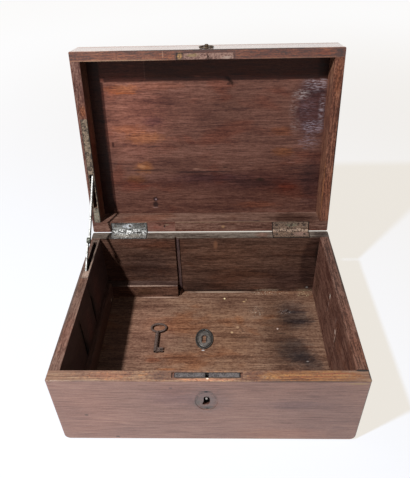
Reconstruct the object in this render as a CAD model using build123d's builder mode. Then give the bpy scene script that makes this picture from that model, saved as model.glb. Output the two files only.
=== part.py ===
import os
from math import atan2, cos, hypot, radians, sin

from build123d import *

os.makedirs("parts", exist_ok=True)

# Frame: origin at the centre of the box's underside, +X to the right, +Y to the back, +Z up.
# The lid stands open, as it rests.

# ---- driving dimensions, millimetres ----
width = 320.0
depth = 235.0
body_height = 106.0
lid_height = 40.0
lid_open = 99.5  # degrees from closed

side_thick = 12.0
end_thick = 12.5
bottom_thick = 5.0
bottom_rebate = 4.0
lid_rail = 11.5
lid_rail_height = 28.0
rim_gap = 0.3  # left between the closed rims
arris = 0.8
small_round = 0.5
worn_corner = 2.0
worn_foot = 7.0  # the bottom edges, worn round at both ends

hinge_offset = 2.4  # hinge axis behind the back face
lid_overhang = 3.2  # of the closed lid past the back face
hinge_length = 50.0
hinge_x = 110.0
leaf_thick = 1.6
leaf_width = 12.5
lid_leaf_width = 10.8
knuckle_radius = 2.2
hinge_pin_radius = 1.1
running_fit = 0.06
knuckle_count = 5
knuckle_gap = 0.3

lock_plate_length = 65.0
lock_recess_length = 70.6
lock_plate_width = 6.4
lock_plate_thick = 1.8
lock_plate_front = 4.0  # wood left in front of the plate
staple_slot = (3.6, 5.0)
case_width = 50.0
case_thick = 6.0
case_wall = 0.8
case_drop = 42.0
key_x = -0.9
key_z = 75.5
drill_pin_radius = 1.3
bolt_throw = 6.0
bolt_thick = 2.0
bolt_tip_x = 2.4
bolt_tip_thick = 1.4
bolt_tip_z = (94.2, 98.2)
bolt_tip_length = 5.6
bolt_top_z = 100.0
bolt_back_x = 20.0
bolt_tail_x = -4.6
bolt_tail_z = 82.0
bolt_tail_height = 8.0
talon_half = 2.5
talon_rise = 4.2
spring_width = 1.6
spring_thick = 0.4
spring_foot = 4.0
spring_length = 12.5
spring_rise = 3.2
stud_x = 11.0
stud_radius = 1.2
stud_gap = 0.3
stud_rows = (87.0, 96.0)
drill_pin_length = 9.6
eye_gap = 0.3

link_plate_length = 59.0
link_plate_width = 8.0
link_plate_thick = 1.6
link_x = 2.5
link_recess_start = -35.0
staple_drop = 14.0
staple_size = (2.4, 3.2)
staple_web = 0.6
staple_round = 1.2

escutcheon_size = (23.5, 33.0)
escutcheon_thick = 1.6
escutcheon_nails = 29.0
escutcheon_rest = (-7.8, 16.7)
loose_gap = 0.3  # under a piece that only lies on the floor

stay_x = -152.95
stay_slot = 4.9
stay_cheek = 0.8
cheek_gap = 0.1
stay_plate_thick = 2.0
stay_plate_inset = 3.0  # wood left outside the plates
arm_thick = 1.9
arm_gap = 0.3
arm_half = 2.5
arm_eye = 4.0
arm_tail = 3.0  # beyond the lid pin
arm_slot = (42.0, 2.4)  # travel of the lid pin, width
cheek_reach = 4.0
rivet_radius = 1.3
rivet_head = (2.2, 0.2)  # radius, height
box_pivot = (81.4, 7.9)  # forward of the hinge axis, below the rim
lid_pivot = (82.9, 5.6)  # from the hinge axis along the lid, into the lid
lower_arm_length = 46.0
box_slot = (22.0, 79.0)
lid_slot = (36.0, 83.8)
box_plate_span = (16.6, 92.0)
lid_plate_span = (13.9, 157.5)
box_pocket = (22.0, 86.0, 23.0)
lid_pocket = (36.0, 122.5, 27.0)

ledge_height = 26.5
ledge_depth = 10.3
left_ledge_height = 32.0
left_ledge_depth = 6.5

ring_radius = 8.0
ring_wire = 1.0
ring_height = 16.8  # above the lid's rim, on its front
ring_lift = 1.4  # ring's pivot in front of the lid
ring_hole_radius = 1.5
boss_radius = 2.5
boss_height = 3.6
boss_round = 1.3

key_x_rest = -70.4
key_end_y = -6.0
key_collar_y = 21.6
key_barrel_radius = 2.7
key_bore_radius = 1.5
key_bore_depth = 12.0
key_bow_spot = (-69.5, 33.6)
key_bow_size = (22.6, 16.3)
key_bow_wire = 3.0
key_bow_thick = 2.6
key_bow_round = 0.9
key_collar = (3.0, 1.6)  # radius, length
key_cut = (3.4, 1.0)  # ward cut in the bit: how deep, how wide
key_bit_reach = 9.8
key_bit_width = 6.8
key_bit_thick = 2.0

# ---- places worked out from them ----
half_w = width / 2
half_d = depth / 2
inner_x = half_w - side_thick
inner_y = half_d - end_thick
floor_z = bottom_thick
hinge_y = half_d + hinge_offset
rim_z = body_height
lid_front_v = hinge_offset + depth
tilt = radians(lid_open)
lid = Plane(
    origin=(0, hinge_y, rim_z),
    x_dir=(1, 0, 0),
    z_dir=(0, sin(tilt), cos(tilt)),
)  # local y runs back to the hinge, local z away from the rim


def save(piece, name):
    """Label a finished piece and write it."""
    piece.part.label = name
    export_step(piece.part, f"parts/{name}.step")


def lid_point(x, v, w):
    """A point of the open lid: v along it from the hinge axis, w into it from the joint."""
    return lid.from_local_coords(Vector(x, -v, w))


def block(x, y, z, mode=Mode.ADD):
    """A box between two values along each axis."""
    with Locations(((x[0] + x[1]) / 2, (y[0] + y[1]) / 2, (z[0] + z[1]) / 2)):
        Box(x[1] - x[0], y[1] - y[0], z[1] - z[0], mode=mode)


def lid_block(x, v, w, mode=Mode.ADD):
    """A box in the lid's own frame, added to or cut from the part being made."""
    middle = Location(((x[0] + x[1]) / 2, -(v[0] + v[1]) / 2, (w[0] + w[1]) / 2))
    with Locations(lid.location * middle):
        Box(x[1] - x[0], v[1] - v[0], w[1] - w[0], mode=mode)


def down(x, y, z=rim_z):
    """A seat for a screw that goes down into the body."""
    return Plane(origin=(x, y, z), z_dir=(0, 0, 1))


def into_lid(x, v, w=rim_gap):
    """A seat for a screw that goes into the lid from its rim."""
    return Plane(origin=lid_point(x, v, w), x_dir=(1, 0, 0), z_dir=-lid.z_dir)


driver_slot = (0.14, 0.12)  # width and depth, as shares of the head


def screw(seat, head, shank, length):
    """A slotted countersunk screw, its head flush with the seat."""
    head_height = (head - shank) / 2
    with Locations(seat):
        Cone(shank / 2, head / 2, head_height, align=(Align.CENTER, Align.CENTER, Align.MAX))
        Cylinder(shank / 2, length, align=(Align.CENTER, Align.CENTER, Align.MAX))
        Box(
            head + 1,
            head * driver_slot[0],
            head * driver_slot[1],
            align=(Align.CENTER, Align.CENTER, Align.MAX),
            mode=Mode.SUBTRACT,
        )


def screw_hole(seat, head, shank, length):
    """The hole that the same screw fills."""
    head_height = (head - shank) / 2
    with Locations(seat):
        Cone(
            shank / 2,
            head / 2,
            head_height,
            align=(Align.CENTER, Align.CENTER, Align.MAX),
            mode=Mode.SUBTRACT,
        )
        Cylinder(
            shank / 2,
            length,
            align=(Align.CENTER, Align.CENTER, Align.MAX),
            mode=Mode.SUBTRACT,
        )


# ---- where the screws and brads go ----
hinge_screw = (4.0, 2.0, 9.0)
hinge_screw_x = (-19.0, 1.0, 18.0)
hinge_screw_in = 5.7  # from the back of the leaf
hinge_sides = {"left": -1, "right": 1}
plate_screw = (4.0, 2.0, 10.0)
box_plate_screws = (19.4, 89.0)
lid_plate_screws = (18.5, 30.0, 130.0, 152.0)
lock_screw = (3.4, 1.8, 8.0)
lock_screw_x = 28.8
link_screw_x = 24.0
brad_radius = 0.7
brad_length = 14.0
brad_inset = bottom_rebate / 2
brad_rows_x = (-110, -37, 37, 110)
brad_rows_y = (-60, 60)
brad_spots = [(x, side * (inner_y + brad_inset)) for x in brad_rows_x for side in (-1, 1)]
brad_spots += [(side * (inner_x + brad_inset), y) for side in (-1, 1) for y in brad_rows_y]


def box_hinge_seats():
    """Seats of every screw in the leaves let into the back board."""
    y = half_d - hinge_screw_in
    return [down(s * hinge_x + dx, y) for s in hinge_sides.values() for dx in hinge_screw_x]


def lid_hinge_seats():
    """Seats of every screw in the leaves let into the lid's back rail."""
    v = hinge_offset + hinge_screw_in
    return [into_lid(s * hinge_x + dx, v) for s in hinge_sides.values() for dx in hinge_screw_x]


def brad_holes():
    """Cut the brads' holes from the part being made."""
    with Locations([(x, y, 0) for x, y in brad_spots]):
        Cylinder(
            brad_radius,
            brad_length,
            align=(Align.CENTER, Align.CENTER, Align.MIN),
            mode=Mode.SUBTRACT,
        )


def bottom_rebate_cut():
    """Cut the seat of the bottom board from the part being made."""
    x = inner_x + bottom_rebate
    y = inner_y + bottom_rebate
    block((-x, x), (-y, y), (0, bottom_thick), Mode.SUBTRACT)


# ---- the front board, with the lock's mortise and keyhole ----
lock_y = -half_d + lock_plate_front + lock_plate_width / 2
plate_bottom = rim_z - lock_plate_thick
case_bottom = plate_bottom - case_drop
ghost_depth = 0.5
ghost_gap = 0.2
escutcheon_spot = (key_x, key_z - 2.0)
nail_spots = [(key_x, escutcheon_spot[1] + side * escutcheon_nails / 2) for side in (-1, 1)]
nail_hole_depth = 3.0
keyhole_radius = 3.1
keyhole_rise = 1.2
keyhole_drop = 10.2
nail_hole_radius = 0.7


def keyhole(plane, amount, mode):
    """A keyhole, round at the top and flared where keys have worn its foot."""
    left = key_x - keyhole_radius
    right = key_x + keyhole_radius
    with BuildSketch(plane) as outline:
        with Locations((key_x, key_z + keyhole_rise)):
            Circle(keyhole_radius)
        with BuildLine():
            Polyline(
                (left, key_z + keyhole_rise),
                (left, key_z - 3.5),
                (left - 2.0, key_z - 9.2),
                (left + 0.6, key_z - keyhole_drop),
                (key_x + 1.4, key_z - keyhole_drop + 0.6),
                (right + 0.5, key_z - 5.0),
                (right, key_z + keyhole_rise),
                close=True,
            )
        make_face()
    extrude(outline.sketch, amount=amount, mode=mode)


face_plane = Plane(origin=(0, -half_d, 0), x_dir=(1, 0, 0), z_dir=(0, -1, 0))

with BuildPart() as front_board:
    block((-half_w, half_w), (-half_d, -inner_y), (0, body_height))
    fillet(front_board.edges().filter_by(Axis.Y).group_by(Axis.Z)[0], worn_foot)
    corners = front_board.edges().filter_by(Axis.Z).group_by(Axis.Y)[0]
    fillet(corners, worn_corner)
    rim = front_board.faces().sort_by(Axis.Z)[-1].edges().sort_by(Axis.Y)[0]
    fillet(rim, arris)
    bottom_rebate_cut()
    block(
        (-lock_recess_length / 2, lock_recess_length / 2),
        (lock_y - lock_plate_width / 2, lock_y + lock_plate_width / 2),
        (plate_bottom, rim_z),
        Mode.SUBTRACT,
    )
    block(
        (-case_width / 2, case_width / 2),
        (lock_y - case_thick / 2, lock_y + case_thick / 2),
        (case_bottom, plate_bottom),
        Mode.SUBTRACT,
    )
    keyhole(face_plane, -(half_d + lock_y - case_thick / 2), Mode.SUBTRACT)
    with BuildSketch(face_plane):
        with Locations(escutcheon_spot):
            Ellipse(escutcheon_size[0] / 2 + ghost_gap, escutcheon_size[1] / 2 + ghost_gap)
    extrude(amount=-ghost_depth, mode=Mode.SUBTRACT)
    with BuildSketch(face_plane):
        with Locations(nail_spots):
            Circle(nail_hole_radius)
    extrude(amount=-nail_hole_depth, mode=Mode.SUBTRACT)
    for side in (-1, 1):
        screw_hole(down(side * lock_screw_x, lock_y), *lock_screw)
    brad_holes()
save(front_board, "front_board")

# ---- the back board, with the hinge seats and the groove of a lost divider ----
divider_x = -46.0
divider_thick = 2.4
groove_depth = 3.0
hinge_seat_y = (half_d - leaf_width, half_d)

with BuildPart() as back_board:
    block((-half_w, half_w), (inner_y, half_d), (0, body_height))
    fillet(back_board.edges().filter_by(Axis.Y).group_by(Axis.Z)[0], worn_foot)
    corners = back_board.edges().filter_by(Axis.Z).group_by(Axis.Y)[-1]
    fillet(corners, worn_corner)
    bottom_rebate_cut()
    for side in hinge_sides.values():
        ends = (side * hinge_x - hinge_length / 2, side * hinge_x + hinge_length / 2)
        block(ends, hinge_seat_y, (rim_z - leaf_thick, rim_z), Mode.SUBTRACT)
    block(
        (divider_x - divider_thick / 2, divider_x + divider_thick / 2),
        (inner_y, inner_y + groove_depth),
        (floor_z, rim_z),
        Mode.SUBTRACT,
    )
    for seat in box_hinge_seats():
        screw_hole(seat, *hinge_screw)
    brad_holes()
save(back_board, "back_board")

# ---- the side boards, grooved for dividers that are gone ----
side_grooves = ((23.0, 2.4, 1.8, 80.0), (-29.0, 2.4, 1.8, 88.0))  # y, width, depth, top
scar_share = 1 / 3  # depth of the right board's scars against the left board's grooves
plate_x = (-half_w + stay_plate_inset, -inner_x)
pocket_half = stay_slot / 2 + stay_cheek + cheek_gap
pocket_x = (stay_x - pocket_half, stay_x + pocket_half)

with BuildPart() as left_board:
    block((-half_w, -inner_x), (-inner_y, inner_y), (0, body_height))
    outer = left_board.faces().sort_by(Axis.X)[0].edges().filter_by(Axis.Y).sort_by(Axis.Z)
    fillet(outer[0], worn_foot)
    fillet(left_board.faces().sort_by(Axis.Z)[-1].edges().sort_by(Axis.X)[0], arris)
    bottom_rebate_cut()
    block(
        plate_x,
        (hinge_y - box_plate_span[1], hinge_y - box_plate_span[0]),
        (rim_z - stay_plate_thick, rim_z),
        Mode.SUBTRACT,
    )
    block(
        pocket_x,
        (hinge_y - box_pocket[1], hinge_y - box_pocket[0]),
        (rim_z - box_pocket[2], rim_z),
        Mode.SUBTRACT,
    )
    for y, wide, deep, top in side_grooves:
        block(
            (-inner_x - deep, -inner_x),
            (y - wide / 2, y + wide / 2),
            (left_ledge_height, top),
            Mode.SUBTRACT,
        )
    for d in box_plate_screws:
        screw_hole(down(stay_x, hinge_y - d), *plate_screw)
    brad_holes()
save(left_board, "left_board")

with BuildPart() as right_board:
    block((inner_x, half_w), (-inner_y, inner_y), (0, body_height))
    outer = right_board.faces().sort_by(Axis.X)[-1].edges().filter_by(Axis.Y).sort_by(Axis.Z)
    fillet(outer[0], worn_foot)
    fillet(right_board.faces().sort_by(Axis.Z)[-1].edges().sort_by(Axis.X)[-1], arris)
    bottom_rebate_cut()
    for y, wide, deep, top in side_grooves:
        block(
            (inner_x, inner_x + deep * scar_share),
            (y - wide / 2, y + wide / 2),
            (floor_z, top),
            Mode.SUBTRACT,
        )
    brad_holes()
save(right_board, "right_board")

# ---- the bottom, its brads and the ledges inside ----
with BuildPart() as bottom_board:
    x_edge = inner_x + bottom_rebate
    y_edge = inner_y + bottom_rebate
    block((-x_edge, x_edge), (-y_edge, y_edge), (0, bottom_thick))
    brad_holes()
save(bottom_board, "bottom_board")

with BuildPart() as bottom_brads:
    with Locations([(x, y, 0) for x, y in brad_spots]):
        Cylinder(brad_radius, brad_length, align=(Align.CENTER, Align.CENTER, Align.MIN))
save(bottom_brads, "bottom_brads")

with BuildPart() as back_ledge:
    block(
        (-inner_x, divider_x - divider_thick / 2),
        (inner_y - ledge_depth, inner_y),
        (floor_z, ledge_height),
    )
    chamfer(back_ledge.faces().sort_by(Axis.Z)[-1].edges().sort_by(Axis.Y)[0], arris)
save(back_ledge, "back_ledge")

with BuildPart() as left_ledge:
    block(
        (-inner_x, -inner_x + left_ledge_depth),
        (-inner_y, inner_y - ledge_depth),
        (floor_z, left_ledge_height),
    )
    chamfer(left_ledge.faces().sort_by(Axis.Z)[-1].edges().sort_by(Axis.X)[-1], arris)
save(left_ledge, "left_ledge")

bead_width = 3.6
bead_thick = 1.2
bead_z = (12.0, 104.5)
with BuildPart() as divider_bead:
    bead_x = divider_x + divider_thick / 2
    block((bead_x, bead_x + bead_width), (inner_y - bead_thick, inner_y), bead_z)
    fillet(divider_bead.faces().sort_by(Axis.Y)[0].edges().filter_by(Axis.Z), small_round)
save(divider_bead, "divider_bead")

stub_x = divider_x + divider_thick / 2
stub_width = 4.0
stub_length = 9.0
stub_height = 5.5
stub_taper = 8  # degrees, where it broke off
with BuildPart() as divider_stub:
    with BuildSketch(Plane.XY.offset(floor_z)):
        with BuildLine():
            Polyline(
                (stub_x, inner_y),
                (stub_x, inner_y - stub_length),
                (stub_x + stub_width / 3, inner_y - stub_length + arris),
                (stub_x + stub_width, inner_y - stub_length / 3),
                (stub_x + stub_width, inner_y),
                close=True,
            )
        make_face()
    extrude(amount=stub_height, taper=stub_taper)
save(divider_stub, "divider_stub")

# ---- the lid: four rails under a top board ----
lid_side_x = (-half_w, -half_w + lid_rail)
lid_plate_x = (-half_w + stay_plate_inset, -half_w + lid_rail)
lid_back_edge = hinge_offset - lid_overhang
lid_back_v = (lid_back_edge, hinge_offset + lid_rail)
lid_front_rail_v = (lid_front_v - lid_rail, lid_front_v)
rail_w = (rim_gap, lid_rail_height)
link_v = (lid_front_rail_v[0], lid_front_rail_v[0] + link_plate_width)
patch_x = (-84.8, -47.0)
patch_screw_spot = (-61.4, 7.6)
patch_screw = (3.2, 1.6)
patch_deep = 3.0
knuckle_notch = 2.5  # wood cut away over the knuckles
lid_round = 2.5
ring_shank = 1.6
ring_shank_length = 9.0
ring_seat = Plane(origin=lid_point(0, lid_front_v, ring_height), x_dir=(1, 0, 0), z_dir=-lid.y_dir)


def link_seats():
    """Seats of the two screws in the link plate."""
    return [into_lid(link_x + side * link_screw_x, sum(link_v) / 2) for side in (-1, 1)]


lid_run = Axis(lid.origin, -lid.y_dir)
lid_depth = Axis(lid.origin, lid.z_dir)

with BuildPart() as lid_front_rail:
    lid_block((-half_w, half_w), lid_front_rail_v, rail_w)
    face = lid_front_rail.faces().sort_by(lid_run)[-1]
    fillet(face.edges().filter_by(lid_depth), worn_corner)
    lid_block(
        (link_recess_start, link_x + link_plate_length / 2),
        link_v,
        (rim_gap, rim_gap + link_plate_thick),
        Mode.SUBTRACT,
    )
    for seat in link_seats():
        screw_hole(seat, *lock_screw)
    with Locations(ring_seat):
        Cylinder(
            ring_shank,
            ring_shank_length,
            align=(Align.CENTER, Align.CENTER, Align.MAX),
            mode=Mode.SUBTRACT,
        )
save(lid_front_rail, "lid_front_rail")

with BuildPart() as lid_back_rail:
    lid_block((-half_w, half_w), lid_back_v, rail_w)
    face = lid_back_rail.faces().sort_by(lid_run)[0]
    fillet(face.edges().filter_by(lid_depth), worn_corner)
    for side in hinge_sides.values():
        ends = (side * hinge_x - hinge_length / 2, side * hinge_x + hinge_length / 2)
        lid_block(
            ends,
            (hinge_offset, hinge_offset + lid_leaf_width),
            (rim_gap, rim_gap + leaf_thick),
            Mode.SUBTRACT,
        )
        lid_block(
            ends,
            (lid_back_edge, hinge_offset),
            (rim_gap, knuckle_notch),
            Mode.SUBTRACT,
        )
    lid_block(patch_x, lid_back_v, (rim_gap, rim_gap + patch_deep), Mode.SUBTRACT)
    for seat in lid_hinge_seats():
        screw_hole(seat, *hinge_screw)
save(lid_back_rail, "lid_back_rail")

with BuildPart() as lid_rail_patch:
    lid_block(patch_x, lid_back_v, (rim_gap, rim_gap + patch_deep))
    screw_hole(into_lid(*patch_screw_spot), *patch_screw, patch_deep)
save(lid_rail_patch, "lid_rail_patch")

side_rail_v = (lid_back_v[1], lid_front_rail_v[0])

with BuildPart() as lid_left_rail:
    lid_block(lid_side_x, side_rail_v, rail_w)
    lid_block(
        lid_plate_x,
        lid_plate_span,
        (rim_gap, rim_gap + stay_plate_thick),
        Mode.SUBTRACT,
    )
    lid_block(pocket_x, lid_pocket[:2], (rim_gap, lid_pocket[2]), Mode.SUBTRACT)
    for v in lid_plate_screws:
        screw_hole(into_lid(stay_x, v), *plate_screw)
save(lid_left_rail, "lid_left_rail")

with BuildPart() as lid_right_rail:
    lid_block((half_w - lid_rail, half_w), side_rail_v, rail_w)
save(lid_right_rail, "lid_right_rail")

with BuildPart() as lid_top_board:
    lid_block((-half_w, half_w), (lid_back_edge, lid_front_v), (lid_rail_height, lid_height))
    fillet(lid_top_board.edges().filter_by(lid_depth), worn_corner)
    fillet(lid_top_board.faces().sort_by(lid_depth)[-1].edges(), lid_round)
save(lid_top_board, "lid_top_board")

# ---- hinges: two leaves rolled into knuckles about one pin ----
knuckle_length = hinge_length / knuckle_count


def knuckles(centre, first):
    """Alternate knuckles of one leaf, each shortened by half the gap to its neighbours."""
    starts = range(first, knuckle_count, 2)
    spots = [centre - hinge_length / 2 + (i + 0.5) * knuckle_length for i in starts]
    with Locations([Plane(origin=(x, hinge_y, rim_z), z_dir=(1, 0, 0)) for x in spots]):
        Cylinder(knuckle_radius, knuckle_length - knuckle_gap)
    return spots


def pin_hole(centre, radius):
    """The pin's hole through the leaf being made."""
    with Locations(Plane(origin=(centre, hinge_y, rim_z), z_dir=(1, 0, 0))):
        Cylinder(radius, hinge_length, mode=Mode.SUBTRACT)


for name, side in hinge_sides.items():
    centre = side * hinge_x
    ends = (centre - hinge_length / 2, centre + hinge_length / 2)
    web_half = (knuckle_length - knuckle_gap) / 2

    with BuildPart() as box_leaf:
        block(ends, hinge_seat_y, (rim_z - leaf_thick, rim_z))
        for seat in box_hinge_seats():
            screw_hole(seat, *hinge_screw)
        for x in knuckles(centre, 0):
            block((x - web_half, x + web_half), (half_d, hinge_y), (rim_z - leaf_thick, rim_z))
        pin_hole(centre, hinge_pin_radius)
    save(box_leaf, f"hinge_{name}_box_leaf")

    with BuildPart() as lid_leaf:
        leaf_w = (rim_gap, rim_gap + leaf_thick)
        lid_block(ends, (hinge_offset, hinge_offset + lid_leaf_width), leaf_w)
        for seat in lid_hinge_seats():
            screw_hole(seat, *hinge_screw)
        for x in knuckles(centre, 1):
            lid_block((x - web_half, x + web_half), (0, hinge_offset), leaf_w)
        pin_hole(centre, hinge_pin_radius + running_fit)
    save(lid_leaf, f"hinge_{name}_lid_leaf")

    with BuildPart() as hinge_pin:
        with Locations(Plane(origin=(centre, hinge_y, rim_z), z_dir=(1, 0, 0))):
            Cylinder(hinge_pin_radius, hinge_length)
    save(hinge_pin, f"hinge_{name}_pin")

with BuildPart() as hinge_box_screws:
    for seat in box_hinge_seats():
        screw(seat, *hinge_screw)
save(hinge_box_screws, "hinge_box_screws")

with BuildPart() as hinge_lid_screws:
    for seat in lid_hinge_seats():
        screw(seat, *hinge_screw)
save(hinge_lid_screws, "hinge_lid_screws")

# ---- the stay: a short arm on the box, a slotted arm on the lid, joined at an elbow ----
slot_x = (stay_x - stay_slot / 2, stay_x + stay_slot / 2)
lower_x = (stay_x - arm_gap / 2 - arm_thick, stay_x - arm_gap / 2)
upper_x = (stay_x + arm_gap / 2, stay_x + arm_gap / 2 + arm_thick)
box_pin = Vector(0, hinge_y - box_pivot[0], rim_z - box_pivot[1])
lid_pin = lid_point(0, *lid_pivot)
reach = lid_pin - box_pin
stay_rise = atan2(reach.Z, reach.Y)
stay_reach = hypot(reach.Y, reach.Z)
upper_arm_length = stay_reach - lower_arm_length
elbow = box_pin + Vector(0, cos(stay_rise), sin(stay_rise)) * lower_arm_length


def across(x, point):
    """A plane facing +X at one side of the stay, its x axis running up the straight stay."""
    return Plane(
        origin=(x, point.Y, point.Z), x_dir=(0, cos(stay_rise), sin(stay_rise)), z_dir=(1, 0, 0)
    )


def rod(x, point, radius, mode=Mode.ADD):
    """A round rod or hole through a point, from one X to another."""
    with Locations(Plane(origin=((x[0] + x[1]) / 2, point.Y, point.Z), z_dir=(1, 0, 0))):
        Cylinder(radius, x[1] - x[0], mode=mode)


with BuildPart() as stay_box_plate:
    y_span = (hinge_y - box_plate_span[1], hinge_y - box_plate_span[0])
    y_cheek = (box_pin.Y - cheek_reach, box_pin.Y + cheek_reach)
    block(plate_x, y_span, (rim_z - stay_plate_thick, rim_z))
    for x in ((slot_x[0] - stay_cheek, slot_x[0]), (slot_x[1], slot_x[1] + stay_cheek)):
        block(x, y_cheek, (box_pin.Z - cheek_reach, rim_z - stay_plate_thick))
    block(
        slot_x,
        (hinge_y - box_slot[1], hinge_y - box_slot[0]),
        (rim_z - stay_plate_thick, rim_z),
        Mode.SUBTRACT,
    )
    rod(pocket_x, box_pin, rivet_radius, Mode.SUBTRACT)
    for d in box_plate_screws:
        screw_hole(down(stay_x, hinge_y - d), *plate_screw)
save(stay_box_plate, "stay_box_plate")

with BuildPart() as stay_box_pin:
    rod((slot_x[0] - stay_cheek, slot_x[1] + stay_cheek), box_pin, rivet_radius)
save(stay_box_pin, "stay_box_pin")

with BuildPart() as stay_lower_arm:
    with BuildSketch(across(lower_x[0], box_pin)):
        with Locations((lower_arm_length / 2, 0)):
            SlotCenterToCenter(lower_arm_length, 2 * arm_half)
        with Locations((lower_arm_length, 0)):
            Circle(arm_eye)
        with Locations((0, 0)):
            Circle(rivet_radius + running_fit, mode=Mode.SUBTRACT)
        with Locations((lower_arm_length, 0)):
            Circle(rivet_radius, mode=Mode.SUBTRACT)
    extrude(amount=arm_thick)
save(stay_lower_arm, "stay_lower_arm")

with BuildPart() as stay_upper_arm:
    tip = upper_arm_length + arm_tail - arm_half
    with BuildSketch(across(upper_x[0], elbow)):
        with Locations((tip / 2, 0)):
            SlotCenterToCenter(tip, 2 * arm_half)
        Circle(arm_eye)
        Circle(rivet_radius + running_fit, mode=Mode.SUBTRACT)
        with Locations((upper_arm_length - arm_slot[0] / 2, 0)):
            SlotCenterToCenter(*arm_slot, mode=Mode.SUBTRACT)
    extrude(amount=arm_thick)
save(stay_upper_arm, "stay_upper_arm")

with BuildPart() as stay_elbow_rivet:
    rod((lower_x[0] - rivet_head[1], upper_x[1] + rivet_head[1]), elbow, rivet_radius)
    rod((lower_x[0] - rivet_head[1], lower_x[0]), elbow, rivet_head[0])
    rod((upper_x[1] + running_fit, upper_x[1] + rivet_head[1]), elbow, rivet_head[0])
save(stay_elbow_rivet, "stay_elbow_rivet")

with BuildPart() as stay_lid_plate:
    v_cheek = (lid_pivot[0] - cheek_reach, lid_pivot[0] + cheek_reach)
    plate_w = (rim_gap, rim_gap + stay_plate_thick)
    lid_block(lid_plate_x, lid_plate_span, plate_w)
    for x in ((slot_x[0] - stay_cheek, slot_x[0]), (slot_x[1], slot_x[1] + stay_cheek)):
        lid_block(x, v_cheek, (plate_w[1], lid_pivot[1] + cheek_reach))
    lid_block(slot_x, lid_slot, plate_w, Mode.SUBTRACT)
    rod((slot_x[0] - stay_cheek, slot_x[0]), lid_pin, rivet_radius, Mode.SUBTRACT)
    for v in lid_plate_screws:
        screw_hole(into_lid(stay_x, v), *plate_screw)
save(stay_lid_plate, "stay_lid_plate")

with BuildPart() as stay_lid_pin:
    rod((slot_x[0] - stay_cheek, upper_x[0] - arm_gap), lid_pin, rivet_radius)
save(stay_lid_pin, "stay_lid_pin")

with BuildPart() as stay_box_screws:
    for d in box_plate_screws:
        screw(down(stay_x, hinge_y - d), *plate_screw)
save(stay_box_screws, "stay_box_screws")

with BuildPart() as stay_lid_screws:
    for v in lid_plate_screws:
        screw(into_lid(stay_x, v), *plate_screw)
save(stay_lid_screws, "stay_lid_screws")

# ---- the box lock: a plate let into the rim, and a case below it in a mortise ----
case_y = (lock_y - case_thick / 2, lock_y + case_thick / 2)
clear_y = (case_y[0] + case_wall, case_y[1] - case_wall)
case_x = (-case_width / 2, case_width / 2)
stud_spots = [(stud_x, row) for row in stud_rows]


def lock_plane(y):
    """An upright plane across the lock, facing forward."""
    return Plane(origin=(0, y, 0), x_dir=(1, 0, 0), z_dir=(0, -1, 0))


with BuildPart() as lock_selvedge:
    block(
        (-lock_plate_length / 2, lock_plate_length / 2),
        (lock_y - lock_plate_width / 2, lock_y + lock_plate_width / 2),
        (plate_bottom, rim_z),
    )
    block(
        (-staple_slot[0] / 2, staple_slot[0] / 2),
        (lock_y - staple_slot[1] / 2, lock_y + staple_slot[1] / 2),
        (plate_bottom, rim_z),
        Mode.SUBTRACT,
    )
    for side in (-1, 1):
        screw_hole(down(side * lock_screw_x, lock_y), *lock_screw)
save(lock_selvedge, "lock_selvedge")

with BuildPart() as lock_case:
    block(case_x, (clear_y[0], case_y[1]), (case_bottom, plate_bottom))
    block(
        (case_x[0] + case_wall, case_x[1] - case_wall),
        clear_y,
        (case_bottom + case_wall, plate_bottom),
        Mode.SUBTRACT,
    )
    with BuildSketch(lock_plane(case_y[1])):
        with Locations((key_x, key_z)):
            Circle(drill_pin_radius)
        with Locations(stud_spots):
            Circle(stud_radius / 2)
    extrude(amount=case_thick, mode=Mode.SUBTRACT)
save(lock_case, "lock_case")

with BuildPart() as lock_cap:
    block(case_x, (case_y[0], clear_y[0]), (case_bottom, plate_bottom))
    keyhole(lock_plane(case_y[0]), -case_wall, Mode.SUBTRACT)
save(lock_cap, "lock_cap")

with BuildPart() as lock_drill_pin:
    with BuildSketch(lock_plane(case_y[1])):
        with Locations((key_x, key_z)):
            Circle(drill_pin_radius)
    extrude(amount=drill_pin_length)
    fillet(lock_drill_pin.faces().sort_by(Axis.Y)[0].edges(), small_round)
save(lock_drill_pin, "lock_drill_pin")

# The bolt slides to the left through the staple; the key carries it by the notch in its tail.
tip_root = bolt_tip_x + bolt_tip_length
talon_middle = key_x + bolt_throw / 2
talon_x = (talon_middle - talon_half, talon_middle + talon_half)
with BuildPart() as lock_bolt:
    with BuildSketch(lock_plane(lock_y + bolt_thick / 2)):
        with BuildLine():
            Polyline(
                (tip_root, bolt_top_z),
                (bolt_back_x, bolt_top_z),
                (bolt_back_x, bolt_tail_z),
                (talon_x[1], bolt_tail_z),
                (talon_x[1], bolt_tail_z + talon_rise),
                (talon_x[0], bolt_tail_z + talon_rise),
                (talon_x[0], bolt_tail_z),
                (bolt_tail_x, bolt_tail_z),
                (bolt_tail_x, bolt_tail_z + bolt_tail_height),
                (tip_root, bolt_tail_z + bolt_tail_height),
                close=True,
            )
        make_face()
        with Locations([(stud_x + bolt_throw / 2, row) for row in stud_rows]):
            SlotCenterToCenter(bolt_throw, 2 * (stud_radius + stud_gap), mode=Mode.SUBTRACT)
    extrude(amount=bolt_thick)
    block(
        (bolt_tip_x, tip_root),
        (lock_y - bolt_tip_thick / 2, lock_y + bolt_tip_thick / 2),
        bolt_tip_z,
    )
save(lock_bolt, "lock_bolt")

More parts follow.
